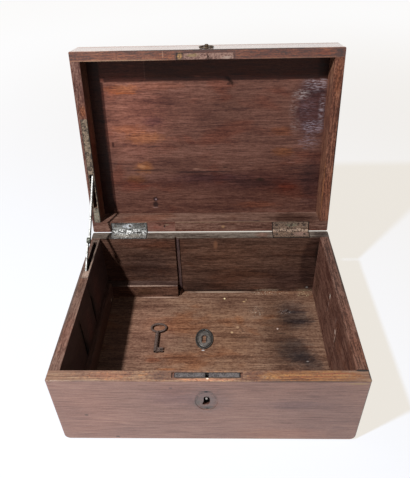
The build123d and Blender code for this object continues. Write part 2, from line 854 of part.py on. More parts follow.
with BuildPart() as lock_bolt_spring:
    with BuildSketch(lock_plane(lock_y + spring_width / 2)):
        with BuildLine():
            Polyline(
                (bolt_back_x, bolt_top_z),
                (bolt_back_x - spring_foot, bolt_top_z),
                (bolt_back_x - spring_length, bolt_top_z + spring_rise),
                (bolt_back_x - spring_length, bolt_top_z + spring_rise + spring_thick),
                (bolt_back_x - spring_foot, bolt_top_z + spring_thick),
                (bolt_back_x, bolt_top_z + spring_thick),
                close=True,
            )
        make_face()
    extrude(amount=spring_width)
save(lock_bolt_spring, "lock_bolt_spring")

with BuildPart() as lock_bolt_studs:
    with BuildSketch(lock_plane(case_y[1])):
        with Locations(stud_spots):
            Circle(stud_radius / 2)
    extrude(amount=case_wall)
    with BuildSketch(lock_plane(clear_y[1])):
        with Locations(stud_spots):
            Circle(stud_radius)
    extrude(amount=clear_y[1] - clear_y[0])
save(lock_bolt_studs, "lock_bolt_studs")

with BuildPart() as lock_screws:
    for side in (-1, 1):
        screw(down(side * lock_screw_x, lock_y), *lock_screw)
save(lock_screws, "lock_screws")

# ---- the link plate and its staple, under the lid's front rail ----
staple_x = (-staple_size[0] / 2, staple_size[0] / 2)
staple_v = hinge_y - lock_y
link_w = (rim_gap, rim_gap + link_plate_thick)

with BuildPart() as link_plate:
    lid_block(
        (link_x - link_plate_length / 2, link_x + link_plate_length / 2),
        link_v,
        link_w,
    )
    lid_block(
        staple_x,
        (staple_v - staple_size[1] / 2, staple_v + staple_size[1] / 2),
        link_w,
        Mode.SUBTRACT,
    )
    for seat in link_seats():
        screw_hole(seat, *lock_screw)
save(link_plate, "link_plate")

with BuildPart() as link_staple:
    lid_block(
        staple_x,
        (staple_v - staple_size[1] / 2, staple_v + staple_size[1] / 2),
        (-staple_drop, link_w[1]),
    )
    tip = link_staple.faces().sort_by(lid_depth)[0].edges().filter_by(Axis.X)
    fillet(tip, staple_round)
    eye_v = staple_size[1] / 2 - staple_web
    lid_block(
        staple_x,
        (staple_v - eye_v, staple_v + eye_v),
        (bolt_tip_z[0] - rim_z - eye_gap, bolt_tip_z[1] - rim_z + eye_gap),
        Mode.SUBTRACT,
    )
save(link_staple, "link_staple")

with BuildPart() as link_screws:
    for seat in link_seats():
        screw(seat, *lock_screw)
save(link_screws, "link_screws")

# ---- the ring pull on the lid's front ----
ring_pivot = lid_point(0, lid_front_v + ring_lift, ring_height)

with BuildPart() as ring_boss:
    with Locations(ring_seat):
        Cylinder(ring_shank, ring_shank_length, align=(Align.CENTER, Align.CENTER, Align.MAX))
        Cylinder(boss_radius, boss_height, align=(Align.CENTER, Align.CENTER, Align.MIN))
    fillet(ring_boss.faces().sort_by(lid_run)[-1].edges(), boss_round)
    with Locations(Plane(origin=ring_pivot, z_dir=(1, 0, 0))):
        Cylinder(ring_hole_radius, 4 * boss_radius, mode=Mode.SUBTRACT)
save(ring_boss, "ring_boss")

with BuildPart() as ring_pull:
    middle = lid_point(0, lid_front_v + ring_lift, ring_height - ring_radius)
    with Locations(Plane(origin=middle, x_dir=(1, 0, 0), z_dir=-lid.y_dir)):
        Torus(ring_radius, ring_wire)
save(ring_pull, "ring_pull")

# ---- the loose key and the loose keyhole plate, lying on the floor ----
key_axis_z = floor_z + loose_gap + key_collar[0]
key_cut_y = key_end_y + key_bit_width / 2

with BuildPart() as key:
    with BuildSketch(Plane.XY.offset(key_axis_z - key_bow_thick / 2)):
        with Locations(key_bow_spot):
            Ellipse(key_bow_size[0] / 2, key_bow_size[1] / 2)
            Ellipse(
                key_bow_size[0] / 2 - key_bow_wire,
                key_bow_size[1] / 2 - key_bow_wire,
                mode=Mode.SUBTRACT,
            )
    extrude(amount=key_bow_thick)
    fillet(key.edges().group_by(Axis.Z)[0] + key.edges().group_by(Axis.Z)[-1], key_bow_round)
    neck = key_bow_spot[1] - key_bow_size[1] / 2 + key_bow_wire / 2
    with Locations(Plane(origin=(key_x_rest, neck, key_axis_z), z_dir=(0, -1, 0))):
        Cylinder(
            key_barrel_radius,
            neck - key_end_y,
            align=(Align.CENTER, Align.CENTER, Align.MIN),
        )
    with Locations(Plane(origin=(key_x_rest, key_collar_y, key_axis_z), z_dir=(0, -1, 0))):
        Cylinder(*key_collar)
    block(
        (key_x_rest, key_x_rest + key_bit_reach),
        (key_end_y, key_end_y + key_bit_width),
        (key_axis_z - key_bit_thick / 2, key_axis_z + key_bit_thick / 2),
    )
    block(
        (key_x_rest + key_bit_reach - key_cut[0], key_x_rest + key_bit_reach),
        (key_cut_y - key_cut[1] / 2, key_cut_y + key_cut[1] / 2),
        (key_axis_z - key_bit_thick, key_axis_z + key_bit_thick),
        Mode.SUBTRACT,
    )
    with Locations(Plane(origin=(key_x_rest, key_end_y, key_axis_z), z_dir=(0, 1, 0))):
        Cylinder(
            key_bore_radius,
            key_bore_depth,
            align=(Align.CENTER, Align.CENTER, Align.MIN),
            mode=Mode.SUBTRACT,
        )
save(key, "key")

with BuildPart() as escutcheon:
    shift_x = escutcheon_rest[0] - escutcheon_spot[0]
    shift_y = escutcheon_rest[1] - escutcheon_spot[1]
    flat = Plane(origin=(shift_x, shift_y, floor_z + loose_gap))
    with BuildSketch(flat):
        with Locations(escutcheon_spot):
            Ellipse(escutcheon_size[0] / 2, escutcheon_size[1] / 2)
    extrude(amount=escutcheon_thick)
    fillet(escutcheon.faces().sort_by(Axis.Z)[-1].edges(), small_round)
    keyhole(flat, escutcheon_thick, Mode.SUBTRACT)
    with BuildSketch(flat):
        with Locations(nail_spots):
            Circle(nail_hole_radius)
    extrude(amount=escutcheon_thick, mode=Mode.SUBTRACT)
save(escutcheon, "escutcheon")
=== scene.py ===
from math import radians

import bpy
from mathutils import Matrix, Vector


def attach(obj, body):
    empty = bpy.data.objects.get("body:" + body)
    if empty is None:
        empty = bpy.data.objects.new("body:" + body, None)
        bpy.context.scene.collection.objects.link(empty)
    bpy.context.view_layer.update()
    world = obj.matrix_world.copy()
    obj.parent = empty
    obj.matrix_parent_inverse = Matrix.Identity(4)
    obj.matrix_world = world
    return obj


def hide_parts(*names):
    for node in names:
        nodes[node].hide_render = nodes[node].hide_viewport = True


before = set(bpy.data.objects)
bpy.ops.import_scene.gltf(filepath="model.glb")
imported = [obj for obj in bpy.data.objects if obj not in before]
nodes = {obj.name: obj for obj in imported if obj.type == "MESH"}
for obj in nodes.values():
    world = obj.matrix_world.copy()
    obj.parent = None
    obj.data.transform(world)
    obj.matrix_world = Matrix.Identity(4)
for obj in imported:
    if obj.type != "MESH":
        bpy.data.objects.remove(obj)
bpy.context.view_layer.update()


def toLinear(hexColour, gain=1.0):
    # sRGB hex to the linear values that shader sockets take
    values = [int(hexColour[i:i + 2], 16) / 255 for i in (1, 3, 5)]
    linear = [v / 12.92 if v <= 0.04045 else ((v + 0.055) / 1.055) ** 2.4 for v in values]
    return (*(v * gain for v in linear), 1.0)


def addNode(tree, kind, settings=None, links=None):
    # settings go to the node's properties, or by socket name to its inputs
    node = tree.nodes.new("ShaderNode" + kind)
    for key, value in (settings or {}).items():
        if hasattr(node, key):
            setattr(node, key, value)
        else:
            node.inputs[key].default_value = value
    for key, source in (links or {}).items():
        tree.links.new(source, node.inputs[key])
    return node


def newMaterial(name):
    material = bpy.data.materials.new(name)
    material.use_nodes = True
    material.node_tree.nodes.clear()
    return material, material.node_tree


def plug(tree, node, pairs):
    # a number or colour is set on the socket, anything else is linked to it
    for index, value in pairs:
        if isinstance(value, bpy.types.NodeSocket):
            tree.links.new(value, node.inputs[index])
        else:
            node.inputs[index].default_value = toLinear(value) if isinstance(value, str) else value


# a mix node's sockets for its factor, its two inputs and its result
colourSockets = (0, 6, 7, 2)
valueSockets = (0, 2, 3, 0)


def blendColour(tree, factor, first, second, how="MIX"):
    node = addNode(tree, "Mix", {"data_type": "RGBA", "blend_type": how})
    plug(tree, node, zip(colourSockets, (factor, first, second)))
    return node.outputs[colourSockets[-1]]


def multiplyBy(tree, factor, colour, tint):
    # the colour, multiplied by the tint where the factor is 1
    return blendColour(tree, factor, colour, blendColour(tree, 1.0, colour, tint, "MULTIPLY"))


def blendValue(tree, factor, first, second):
    node = addNode(tree, "Mix", {"data_type": "FLOAT"})
    plug(tree, node, zip(valueSockets, (factor, first, second)))
    return node.outputs[valueSockets[-1]]


def calculate(tree, how, first, second=0.0):
    node = addNode(tree, "Math", {"operation": how})
    plug(tree, node, ((0, first), (1, second)))
    return node.outputs[0]


def times(tree, first, second):
    return calculate(tree, "MULTIPLY", first, second)


def vectorMath(tree, how, first, second=(0, 0, 0), result="Vector"):
    node = addNode(tree, "VectorMath", {"operation": how})
    plug(tree, node, ((0, first), (1, second)))
    return node.outputs[result]


def fadeBetween(tree, value, low, high):
    # 0 at low and 1 at high, whichever is larger
    node = addNode(
        tree, "MapRange",
        {"interpolation_type": "SMOOTHSTEP", "From Min": low, "From Max": high},
        {"Value": value},
    )
    return node.outputs["Result"]


def rampColour(tree, factor, stops):
    node = addNode(tree, "ValToRGB", {}, {"Fac": factor})
    elements = node.color_ramp.elements
    while len(elements) < len(stops):
        elements.new(0.5)
    for element, (place, colour) in zip(elements, stops):
        element.position = place
        element.color = toLinear(colour)
    return node.outputs["Color"]


# a layer of noise is moved by its shift, and by a different length along each axis
shiftSlant = (1, 0.7, 1.3)
noiseMean = 0.5


def lumps(tree, place, sizes, detail, roughness, distortion=0.0, shift=0.0):
    # noise whose lumps have these sizes in millimetres along each axis
    stretch = addNode(
        tree, "Mapping",
        {"Scale": tuple(1 / s for s in sizes), "Location": tuple(shift * s for s in shiftSlant)},
        {"Vector": place},
    )
    noise = addNode(
        tree, "TexNoise",
        {"Scale": 1.0, "Detail": detail, "Roughness": roughness, "Distortion": distortion},
        {"Vector": stretch.outputs[0]},
    )
    return noise.outputs["Fac"]


def swing(tree, noise, gain):
    # the noise about zero, this many times as strong
    return times(tree, calculate(tree, "SUBTRACT", noise, noiseMean), gain)


def coverWith(tree, height, relief, settings, links):
    # the last nodes of a material; relief holds the bump's strength, and its depth in metres
    bump = addNode(tree, "Bump", dict(zip(("Strength", "Distance"), relief)), {"Height": height})
    shader = addNode(tree, "BsdfPrincipled", settings, {**links, "Normal": bump.outputs[0]})
    addNode(tree, "OutputMaterial", {}, {"Surface": shader.outputs[0]})


# the lid stands open on its hinge axis: degrees from shut, and the axis in millimetres
lidStand = {"open": 99.5, "axis": (0, 119.9, 106)}


def placeInMm(tree, part):
    # object coordinates in millimetres; on the lid they run x, up from the hinge, out of the rim
    place = addNode(tree, "TexCoord").outputs["Object"]
    settings = {"Scale": (1000, 1000, 1000)}
    if part == "lid":
        turn = radians(lidStand["open"] - 180)
        settings["Rotation"] = (turn, 0, 0)
        settings["Location"] = tuple(-(Matrix.Rotation(turn, 3, "X") @ Vector(lidStand["axis"])))
    return addNode(tree, "Mapping", settings, {"Vector": place}).outputs[0]


# A mark has its place in mm, its reach along each axis (0 stays in the skin of a face), its colour,
# how much of it shows, and how soft and how ragged its edge is.
skinDepth = 1.5
# a reach that leaves an axis out
wholeAxis = 999
# the lumps of a ragged edge, unless a mark has its own; how far they carry it; their shift from mark to mark
ragNoise = {"sizes": (7, 3, 3), "detail": 5, "roughness": 0.7, "distortion": 0.3}
ragGain = 4
ragShift = 0.1
# a comb breaks a mark into teeth
combNoise = {"detail": 3, "roughness": 0.6, "distortion": 0.6}
# how much of a dark edge line, painted shade and dirt, is at full strength
lineCore = 0.4


def stain(at, size, colour, strength, soft, ragged=0.3, **more):
    # the wood's colour gives way to this one
    mark = {"at": at, "size": size, "colour": colour, "strength": strength, "soft": soft, "ragged": ragged}
    return {**mark, **more}


def wash(at, size, tint, gain, strength, soft=0.7, ragged=0.4, **more):
    # the wood's own colour is multiplied, so that the grain still shows
    return {**stain(at, size, None, strength, soft, ragged, **more), "tint": tint, "gain": gain}


def edgeShadeAndDirt(at, half, width, colour, strength):
    # a dark line along the edge of a block that reaches this far each side: painted shade of the gap where a
    # plate meets what is round it, and dirt
    return {"at": at, "half": half, "width": width, "colour": colour, "strength": strength}


def paintedShadow(at, half, soft, tint, gain):
    # the whole block is darker, up to an edge this soft: a painted shadow
    return {"at": at, "half": half, "soft": soft, "tint": tint, "gain": gain, "strength": 1.0}


def onFace(axis, depth, marks):
    # marks that lie in one face are written without its axis, which is put in here
    i = "XYZ".index(axis)
    for mark in marks:
        for key, value in (("at", depth), ("size", 0)):
            mark[key] = (*mark[key][:i], value, *mark[key][i:])
    return marks


def markMask(tree, place, mark):
    shift = vectorMath(tree, "SUBTRACT", place, mark["at"])
    if "half" in mark:
        away = vectorMath(tree, "SUBTRACT", vectorMath(tree, "ABSOLUTE", shift), mark["half"])
        parts = addNode(tree, "SeparateXYZ", {}, {"Vector": away})
        edge = calculate(tree, "MAXIMUM", parts.outputs[0], calculate(tree, "MAXIMUM", *parts.outputs[1:]))
        if "width" in mark:
            edge = fadeBetween(tree, calculate(tree, "ABSOLUTE", edge), mark["width"], mark["width"] * lineCore)
        else:
            edge = fadeBetween(tree, edge, 0, -mark["soft"])
        return times(tree, edge, mark["strength"])
    shape = vectorMath(tree, "MULTIPLY", shift, tuple(1 / (s or skinDepth) for s in mark["size"]))
    reach = vectorMath(tree, "LENGTH", shape, result="Value")
    if mark["ragged"]:
        noise = {**ragNoise, "sizes": mark.get("lumps", ragNoise["sizes"])}
        rag = lumps(tree, place, shift=sum(mark["at"]) * ragShift, **noise)
        reach = calculate(tree, "ADD", reach, swing(tree, rag, mark["ragged"] * ragGain))
    mask = fadeBetween(tree, reach, 1.0, 1.0 - mark["soft"])
    if "hollow" in mark:
        inner = fadeBetween(tree, reach, mark["hollow"] - mark["soft"], mark["hollow"])
        mask = times(tree, mask, inner)
    if "comb" in mark:
        comb = mark["comb"]
        teeth = lumps(tree, place, comb["lumps"], shift=comb.get("shift", 0), **combNoise)
        mask = times(tree, mask, fadeBetween(tree, teeth, comb["from"], comb["to"]))
    return times(tree, mask, mark["strength"])


def layMarks(tree, place, colour, marks):
    for mark in marks:
        over = mark.get("colour")
        if "tint" in mark:
            over = vectorMath(tree, "MULTIPLY", colour, toLinear(mark["tint"], mark["gain"])[:3])
        colour = blendColour(tree, markMask(tree, place, mark), colour, over)
    return colour


# mahogany, planed and polished long ago: polish worn to a satin, open pores drawn out along the grain
grainTurn = {"x": (0, 0, 0), "y": (0, 0, radians(90)), "z": (0, radians(90), 0)}
woodGrain = {
    # lumps in mm along and across the grain; pores are 0.2 mm wide in life, drawn wider so that they show
    "figure": {"sizes": (170, 11, 11), "detail": 4, "roughness": 0.6, "distortion": 0.8, "shift": 0},
    "streaks": {"sizes": (24, 1.7, 1.7), "detail": 4, "roughness": 0.7, "distortion": 0.3, "shift": 3},
    "fibres": {"sizes": (7, 1.0, 1.0), "detail": 2, "roughness": 0.6, "distortion": 0, "shift": 5},
    "dust": {"sizes": (2.2, 1.6, 1.6), "detail": 2, "roughness": 0.6, "distortion": 0, "shift": 7},
    "blotch": {"sizes": (70, 30, 30), "detail": 3, "roughness": 0.55, "distortion": 0.4, "shift": 9},
}
# where a palette's three colours lie on the grain, and between which values blotches and pores fade in
paletteStops = (0.18, 0.5, 0.82)
blotchFades = {"colour": (0.52, 0.70), "shade": (0.48, 0.30)}
pores = {"fade": (0.58, 0.74), "strength": 0.5, "tint": "#8a6c60"}
streakRough = 0.3
woodRelief = (0.3, 0.0005)
plainBoard = {
    "part": "box", "rough": 0.5, "shine": 0.2, "polish": 0.0, "glaze": 0.22, "faces": [], "marks": [],
    "blotch": {"colour": "#f0c8a8", "shade": "#b8a09c", "strength": 0.45},
    # lumps that are not woodGrain's, and how much figure, streaks, fibres and dust each move the colour
    "sizes": {}, "gains": (0.9, 1.5, 1.1, 0.5),
    # how far the edge of a face's own colour wanders, in mm
    "rag": 1.2,
}


def oldMahogany(name, board):
    board = {**plainBoard, **board}
    material, tree = newMaterial(name)
    place = placeInMm(tree, board["part"])
    turned = addNode(tree, "Mapping", {"Rotation": grainTurn[board["grain"]]}, {"Vector": place})
    along = turned.outputs[0]
    layers = {}
    for key, layer in woodGrain.items():
        sizes = board["sizes"].get(key, layer["sizes"])
        layers[key] = lumps(tree, along, **{**layer, "sizes": sizes, "shift": board["seed"] + layer["shift"]})
    grain = noiseMean
    for key, gain in zip(("figure", "streaks", "fibres", "dust"), board["gains"]):
        grain = calculate(tree, "ADD", swing(tree, layers[key], gain), grain)

    def palette(colours):
        return rampColour(tree, grain, list(zip(paletteStops, colours)))

    colour = palette(board["inside"])
    streaky = times(tree, layers["streaks"], streakRough)
    rough = calculate(tree, "ADD", streaky, board["rough"] - streakRough * noiseMean)
    axes = addNode(tree, "SeparateXYZ", {}, {"Vector": place})
    rag = swing(tree, layers["streaks"], board["rag"])
    for face in board["faces"]:
        value = calculate(tree, "ADD", axes.outputs[face["axis"]], rag)
        mask = fadeBetween(tree, value, face["from"], face["to"])
        colour = blendColour(tree, mask, colour, palette(face["colours"]))
        if "rough" in face:
            rough = blendValue(tree, mask, rough, face["rough"])
    tint = board["blotch"]
    for key, fade in blotchFades.items():
        mask = times(tree, fadeBetween(tree, layers["blotch"], *fade), tint["strength"])
        colour = multiplyBy(tree, mask, colour, tint[key])
    poreMask = fadeBetween(tree, layers["fibres"], *pores["fade"])
    poreMask = times(tree, poreMask, pores["strength"])
    colour = multiplyBy(tree, poreMask, colour, pores["tint"])
    colour = layMarks(tree, place, colour, board["marks"])
    coverWith(
        tree, calculate(tree, "SUBTRACT", layers["streaks"], poreMask), woodRelief,
        {
            "IOR": 1.5, "Specular IOR Level": board["shine"],
            "Coat Weight": board["polish"], "Coat Roughness": board["glaze"],
        },
        {"Base Color": colour, "Roughness": rough},
    )
    return material


def dress(material, names):
    # a CAD node keeps its mesh and gets the material in every slot
    for name in names:
        node = nodes[name]
        node.data.materials.clear()
        node.data.materials.append(material)


def outerFace(axis, inside, outside, colours, **more):
    # between these two places on an axis, in mm, a board turns to a face's own colours
    return {"axis": axis, "from": inside, "to": outside, "colours": colours, **more}


boxRim = ("Z", 104.9, 105.6)
lidRim = ("Z", -1.2, -0.7)
outsideColours = ("#4c2c24", "#6c463a", "#8a6252")

frontFace = -117.5
dirtDots = {"lumps": (2.2, 2.2, 2.2), "from": 0.48, "to": 0.58}
darkStreak = {"lumps": (3.6, 1.3, 2), "from": 0.52, "to": 0.62, "shift": 3}
paleStreak = {"lumps": (2.8, 1.2, 2), "from": 0.53, "to": 0.63, "shift": 9}
frontBoard = {
    "grain": "x", "seed": 4.0, "shine": 0.5, "polish": 0.25,
    "gains": (0.5, 1.2, 1.1, 0.3), "sizes": {"streaks": (60, 1.2, 1.2), "fibres": (24, 1.0, 1.0)},
    "inside": ("#3c2219", "#5a382b", "#74503f"),
    "faces": [
        outerFace("Y", -116.4, -117.2, ("#744f43", "#936b5c", "#ad8575")),
        outerFace(*boxRim, ("#513223", "#7c5b48", "#a2886b")),
    ],
    "blotch": {"colour": "#f0d8cc", "shade": "#c4b8bc", "strength": 0.25},
}
frontBoard["marks"] = onFace("Y", frontFace, [
    wash((0, 74), (34, 30), "#ecf2ff", 0.9, 0.8),
    wash((-34, 78), (42, 22), "#f4f0ff", 0.9, 0.8, 0.9),
    wash((85, 66), (60, 12), "#f0f0ff", 0.86, 0.8, 0.9),
    wash((80, 12), (80, 14), "#fff4ea", 1.14, 0.8),
    wash((-125, 50), (60, 70), "#fffaf6", 1.16, 0.9, 0.9, 0.1),
    wash((118, 55), (60, 60), "#f8f6fa", 0.86, 0.9),
    stain((-1, 73.5), (11.8, 16.5), "#6e6462", 0.5, 0.5, 0.2),
    stain((-1, 73.5), (12.2, 17), "#403634", 0.8, 0.14, 0.08, hollow=0.88, comb=dirtDots),
    stain((-9.5, 70), (6, 10), "#5c5c54", 0.55, 0.8),
    stain((0, 60.5), (11, 4.5), "#3a3e3a", 0.75, 0.7),
    stain((-1, 88.5), (8, 2.4), "#2e2626", 0.8, 0.7, 0.5, lumps=(2, 2, 2)),
    stain((-1, 88.1), (2.2, 1.9), "#160e0c", 0.95, 0.4, 0),
    stain((-0.6, 59.6), (2.6, 1.8), "#160e0c", 0.85, 0.5, 0),
    stain((-128, 47), (2.8, 2.0), "#3c2820", 0.8, 0.6),
    stain((-100, 5), (3, 1.6), "#2e201c", 0.8, 0.6),
    stain((-36, 95), (2.2, 1.6), "#4a3a3c", 0.7, 0.6),
    stain((104, 70.5), (7, 0.8), "#5a4440", 0.6, 0.6),
    stain((50, 91), (12, 0.8), "#6a4a40", 0.6, 0.6),
]) + [
    # painted shade inside the keyhole
    stain((0, -110.9, 72), (8, 6, 12), "#0e0908", 0.95, 0.3, 0),
    # the top arris: dark along its right, pale near the end, and the open joint at the corner
    stain((98, frontFace, 105.4), (66, 1.2, 1.1), "#38221a", 0.8, 0.4, 0.2),
    stain((148, frontFace, 102.5), (14, 1.2, 2.2), "#a8845e", 0.8, 0.5),
    stain((154, -105, 106), (9, 1.3, 2), "#0c0706", 0.95, 0.3, 0),
    stain((159.6, -110, 106), (1.3, 7, 4), "#1a0f0c", 0.9, 0.4, 0.1),
    # along the rim from the left
    wash((-95, -111, 106), (26, 8, 1), "#ffe4dc", 1.05, 0.7),
    stain((-64, -110.5, 106), (7, 2, 1), "#a87850", 0.5, 0.9),
    wash((-46, -111, 106), (14, 8, 1), "#f0e8f0", 0.66, 0.9),
    wash((46, -111, 106), (14, 8, 1), "#ffe4dc", 0.62, 0.9),
    wash((102, -111, 106), (60, 9, 1), "#ffe4b4", 1.04, 0.9, 0.4),
    stain((110, -112.2, 106), (40, 0.9, 1), "#7a4028", 0.8, 0.6, 0.9, lumps=(16, 3, 3)),
    stain((125, -108.6, 106), (30, 0.8, 1), "#8a4c34", 0.7, 0.6, 0.9, lumps=(14, 3, 3)),
    stain((0, -115.6, 106), (34, 1.6, 1.5), "#ac7c62", 0.9, 0.4, 0.2),
    # a near-white fleck on the rim below the lock's slot: a painted highlight
    stain((0.4, -114.4, 106), (1.7, 0.9, 1.2), "#f4e2d4", 0.95, 0.5, 0),
    wash((0, -111, 106), (175, 9, 1), "#ffdccc", 0.5, 0.9, 0.3, 0, comb=darkStreak),
    wash((0, -111, 106), (175, 9, 1), "#fff0d8", 1.55, 0.9, 0.3, 0, comb=paleStreak),
]

backFace = 105
backBoard = {
    "grain": "x", "seed": 11.0,
    "inside": ("#38251e", "#593f34", "#785a4c"),
    "faces": [
        outerFace("Y", 116.4, 117.2, outsideColours),
        outerFace(*boxRim, ("#372c25", "#5c524a", "#82776d")),
    ],
}
backBoard["marks"] = onFace("Y", backFace, [
    wash((-88, 96), (56, 12), "#fff0ec", 1.25, 0.8),
    wash((-88, 52), (50, 34), "#f4f4ff", 0.66, 0.9, 0.8),
    wash((20, 74), (70, 38), "#fff6ec", 1.18, 0.8, 0.9),
    wash((112, 28), (52, 34), "#f8f4ff", 0.66, 0.9, 0.8),
    wash((-14, 18), (50, 18), "#f4f4fa", 0.66, 0.9, 0.8),
    wash((146, 56), (24, 60), "#ece8f0", 0.55, 0.95, 0.3, 0.1),
    stain((148, 78), (6, 34), "#140d0b", 0.85, 0.9),
    stain((8, 93), (4, 11), "#94664c", 0.6, 0.8),
    stain((139.5, 12.5), (2.3, 2.3), "#8a8480", 0.9, 0.3, 0),
    stain((139.5, 12.5), (4.2, 4.2), "#15100e", 0.6, 0.6, 0.2, hollow=0.6),
    stain((20, 7), (140, 2.2), "#150e0c", 0.7, 0.5, 0.4),
    stain((82, 7), (18, 2.6), "#8c7a68", 0.8, 0.4, 0.9, lumps=(2, 2, 2)),
    stain((136, 6), (14, 3), "#84725c", 0.8, 0.4, 0.9, lumps=(2, 2, 2)),
]) + [
    # along the rim
    wash((72, 111, 106), (14, 8, 1), "#ffdcd4", 1.15, 0.9),
    wash((108, 111, 106), (28, 8, 1), "#ffe4d8", 1.35, 0.9),
    wash((150, 111, 106), (14, 8, 1), "#e4dce0", 0.6, 0.9),
    stain((0, 117, 106), (160, 1.6, 2), "#a49a92", 0.7, 0.6),
]

leftFace = -148
leftBoard = {
    "grain": "y", "seed": 17.0, "gains": (0.9, 2.2, 1.5, 0.9),
    # the inner face's colours are darker than the other walls': painted shade, as this face turns from the lamp
    "inside": ("#261918", "#3b2926", "#4c3a36"),
    "faces": [
        outerFace("X", -158.9, -159.7, outsideColours),
        outerFace(*boxRim, ("#442e25", "#62483e", "#7d6357")),
    ],
}
leftBoard["marks"] = onFace("X", leftFace, [
    wash((48, 62), (20, 44), "#ffe4dc", 2.1, 0.8, 0.9),
    wash((-3, 50), (16, 50), "#ffe8e4", 2.0, 0.8, 0.8),
    wash((-70, 50), (34, 50), "#f0e4ec", 1.25, 0.8, 0.8),
    # two splits that run down across the grain
    stain((21.4, 90), (2.2, 17), "#050303", 0.95, 0.4, 0.6, lumps=(3, 3, 8)),
    stain((24.8, 58), (6.4, 25), "#020101", 1, 0.3, lumps=(3, 3, 8)),
    stain((-31.4, 89), (5.0, 7), "#030202", 1, 0.4, 0.5, lumps=(3, 3, 5)),
    stain((-30.5, 68), (4.8, 20), "#020101", 1, 0.3, 0.5, lumps=(3, 3, 8)),
    stain((-27.4, 44), (7.6, 18), "#020101", 1, 0.3, lumps=(3, 3, 8)),
]) + [
    stain((-158.5, 0, 106), (1.8, 120, 2), "#4c4440", 0.6, 0.7),
    wash((-153, -60, 106), (8, 40, 1), "#ffe8e4", 1.15, 0.6),
    wash((-153, 12, 106), (8, 20, 1), "#b8b0a8", 0.95, 0.6),
]

rightFace = 148
rightBoard = {
    "grain": "y", "seed": 23.0, "gains": (1.0, 2.8, 2.0, 1.3),
    "inside": ("#3d231d", "#5c3c33", "#765649"),
    "faces": [
        outerFace("X", 158.9, 159.7, outsideColours),
        outerFace(*boxRim, ("#402a22", "#604337", "#7d5d51")),
    ],
}
rightBoard["marks"] = onFace("X", rightFace, [
    stain((19, 82), (2.8, 5), "#c4b4a8", 0.95, 0.6),
    stain((20.5, 68), (1.8, 7), "#8c7870", 0.6, 0.8),
    stain((21, 57), (1.6, 4), "#8c7870", 0.6, 0.7),
    stain((-23, 66), (3.8, 5), "#b49c90", 0.9, 0.7),
    stain((-25.5, 57), (1.6, 8), "#a48c80", 0.9, 0.6),
    stain((-27.5, 56), (1.4, 5), "#1c120f", 0.8, 0.6),
    stain((-18, 80), (2.6, 7), "#806860", 0.5, 0.8),
    stain((-26, 44), (2.4, 3), "#84685c", 0.6, 0.7),
    wash((85, 40), (18, 40), "#c0c0b0", 1.1, 0.5),
]) + [
    # rim: a dark outer edge, and the open joint at the front
    stain((159, 40, 106), (2.4, 90, 2), "#3c322c", 0.8, 0.8),
    wash((153, -40, 106), (7, 44, 1), "#fff0e8", 1.12, 0.7),
    stain((154, -105, 106), (9, 1.6, 2), "#0c0706", 0.95, 0.3, 0),
]

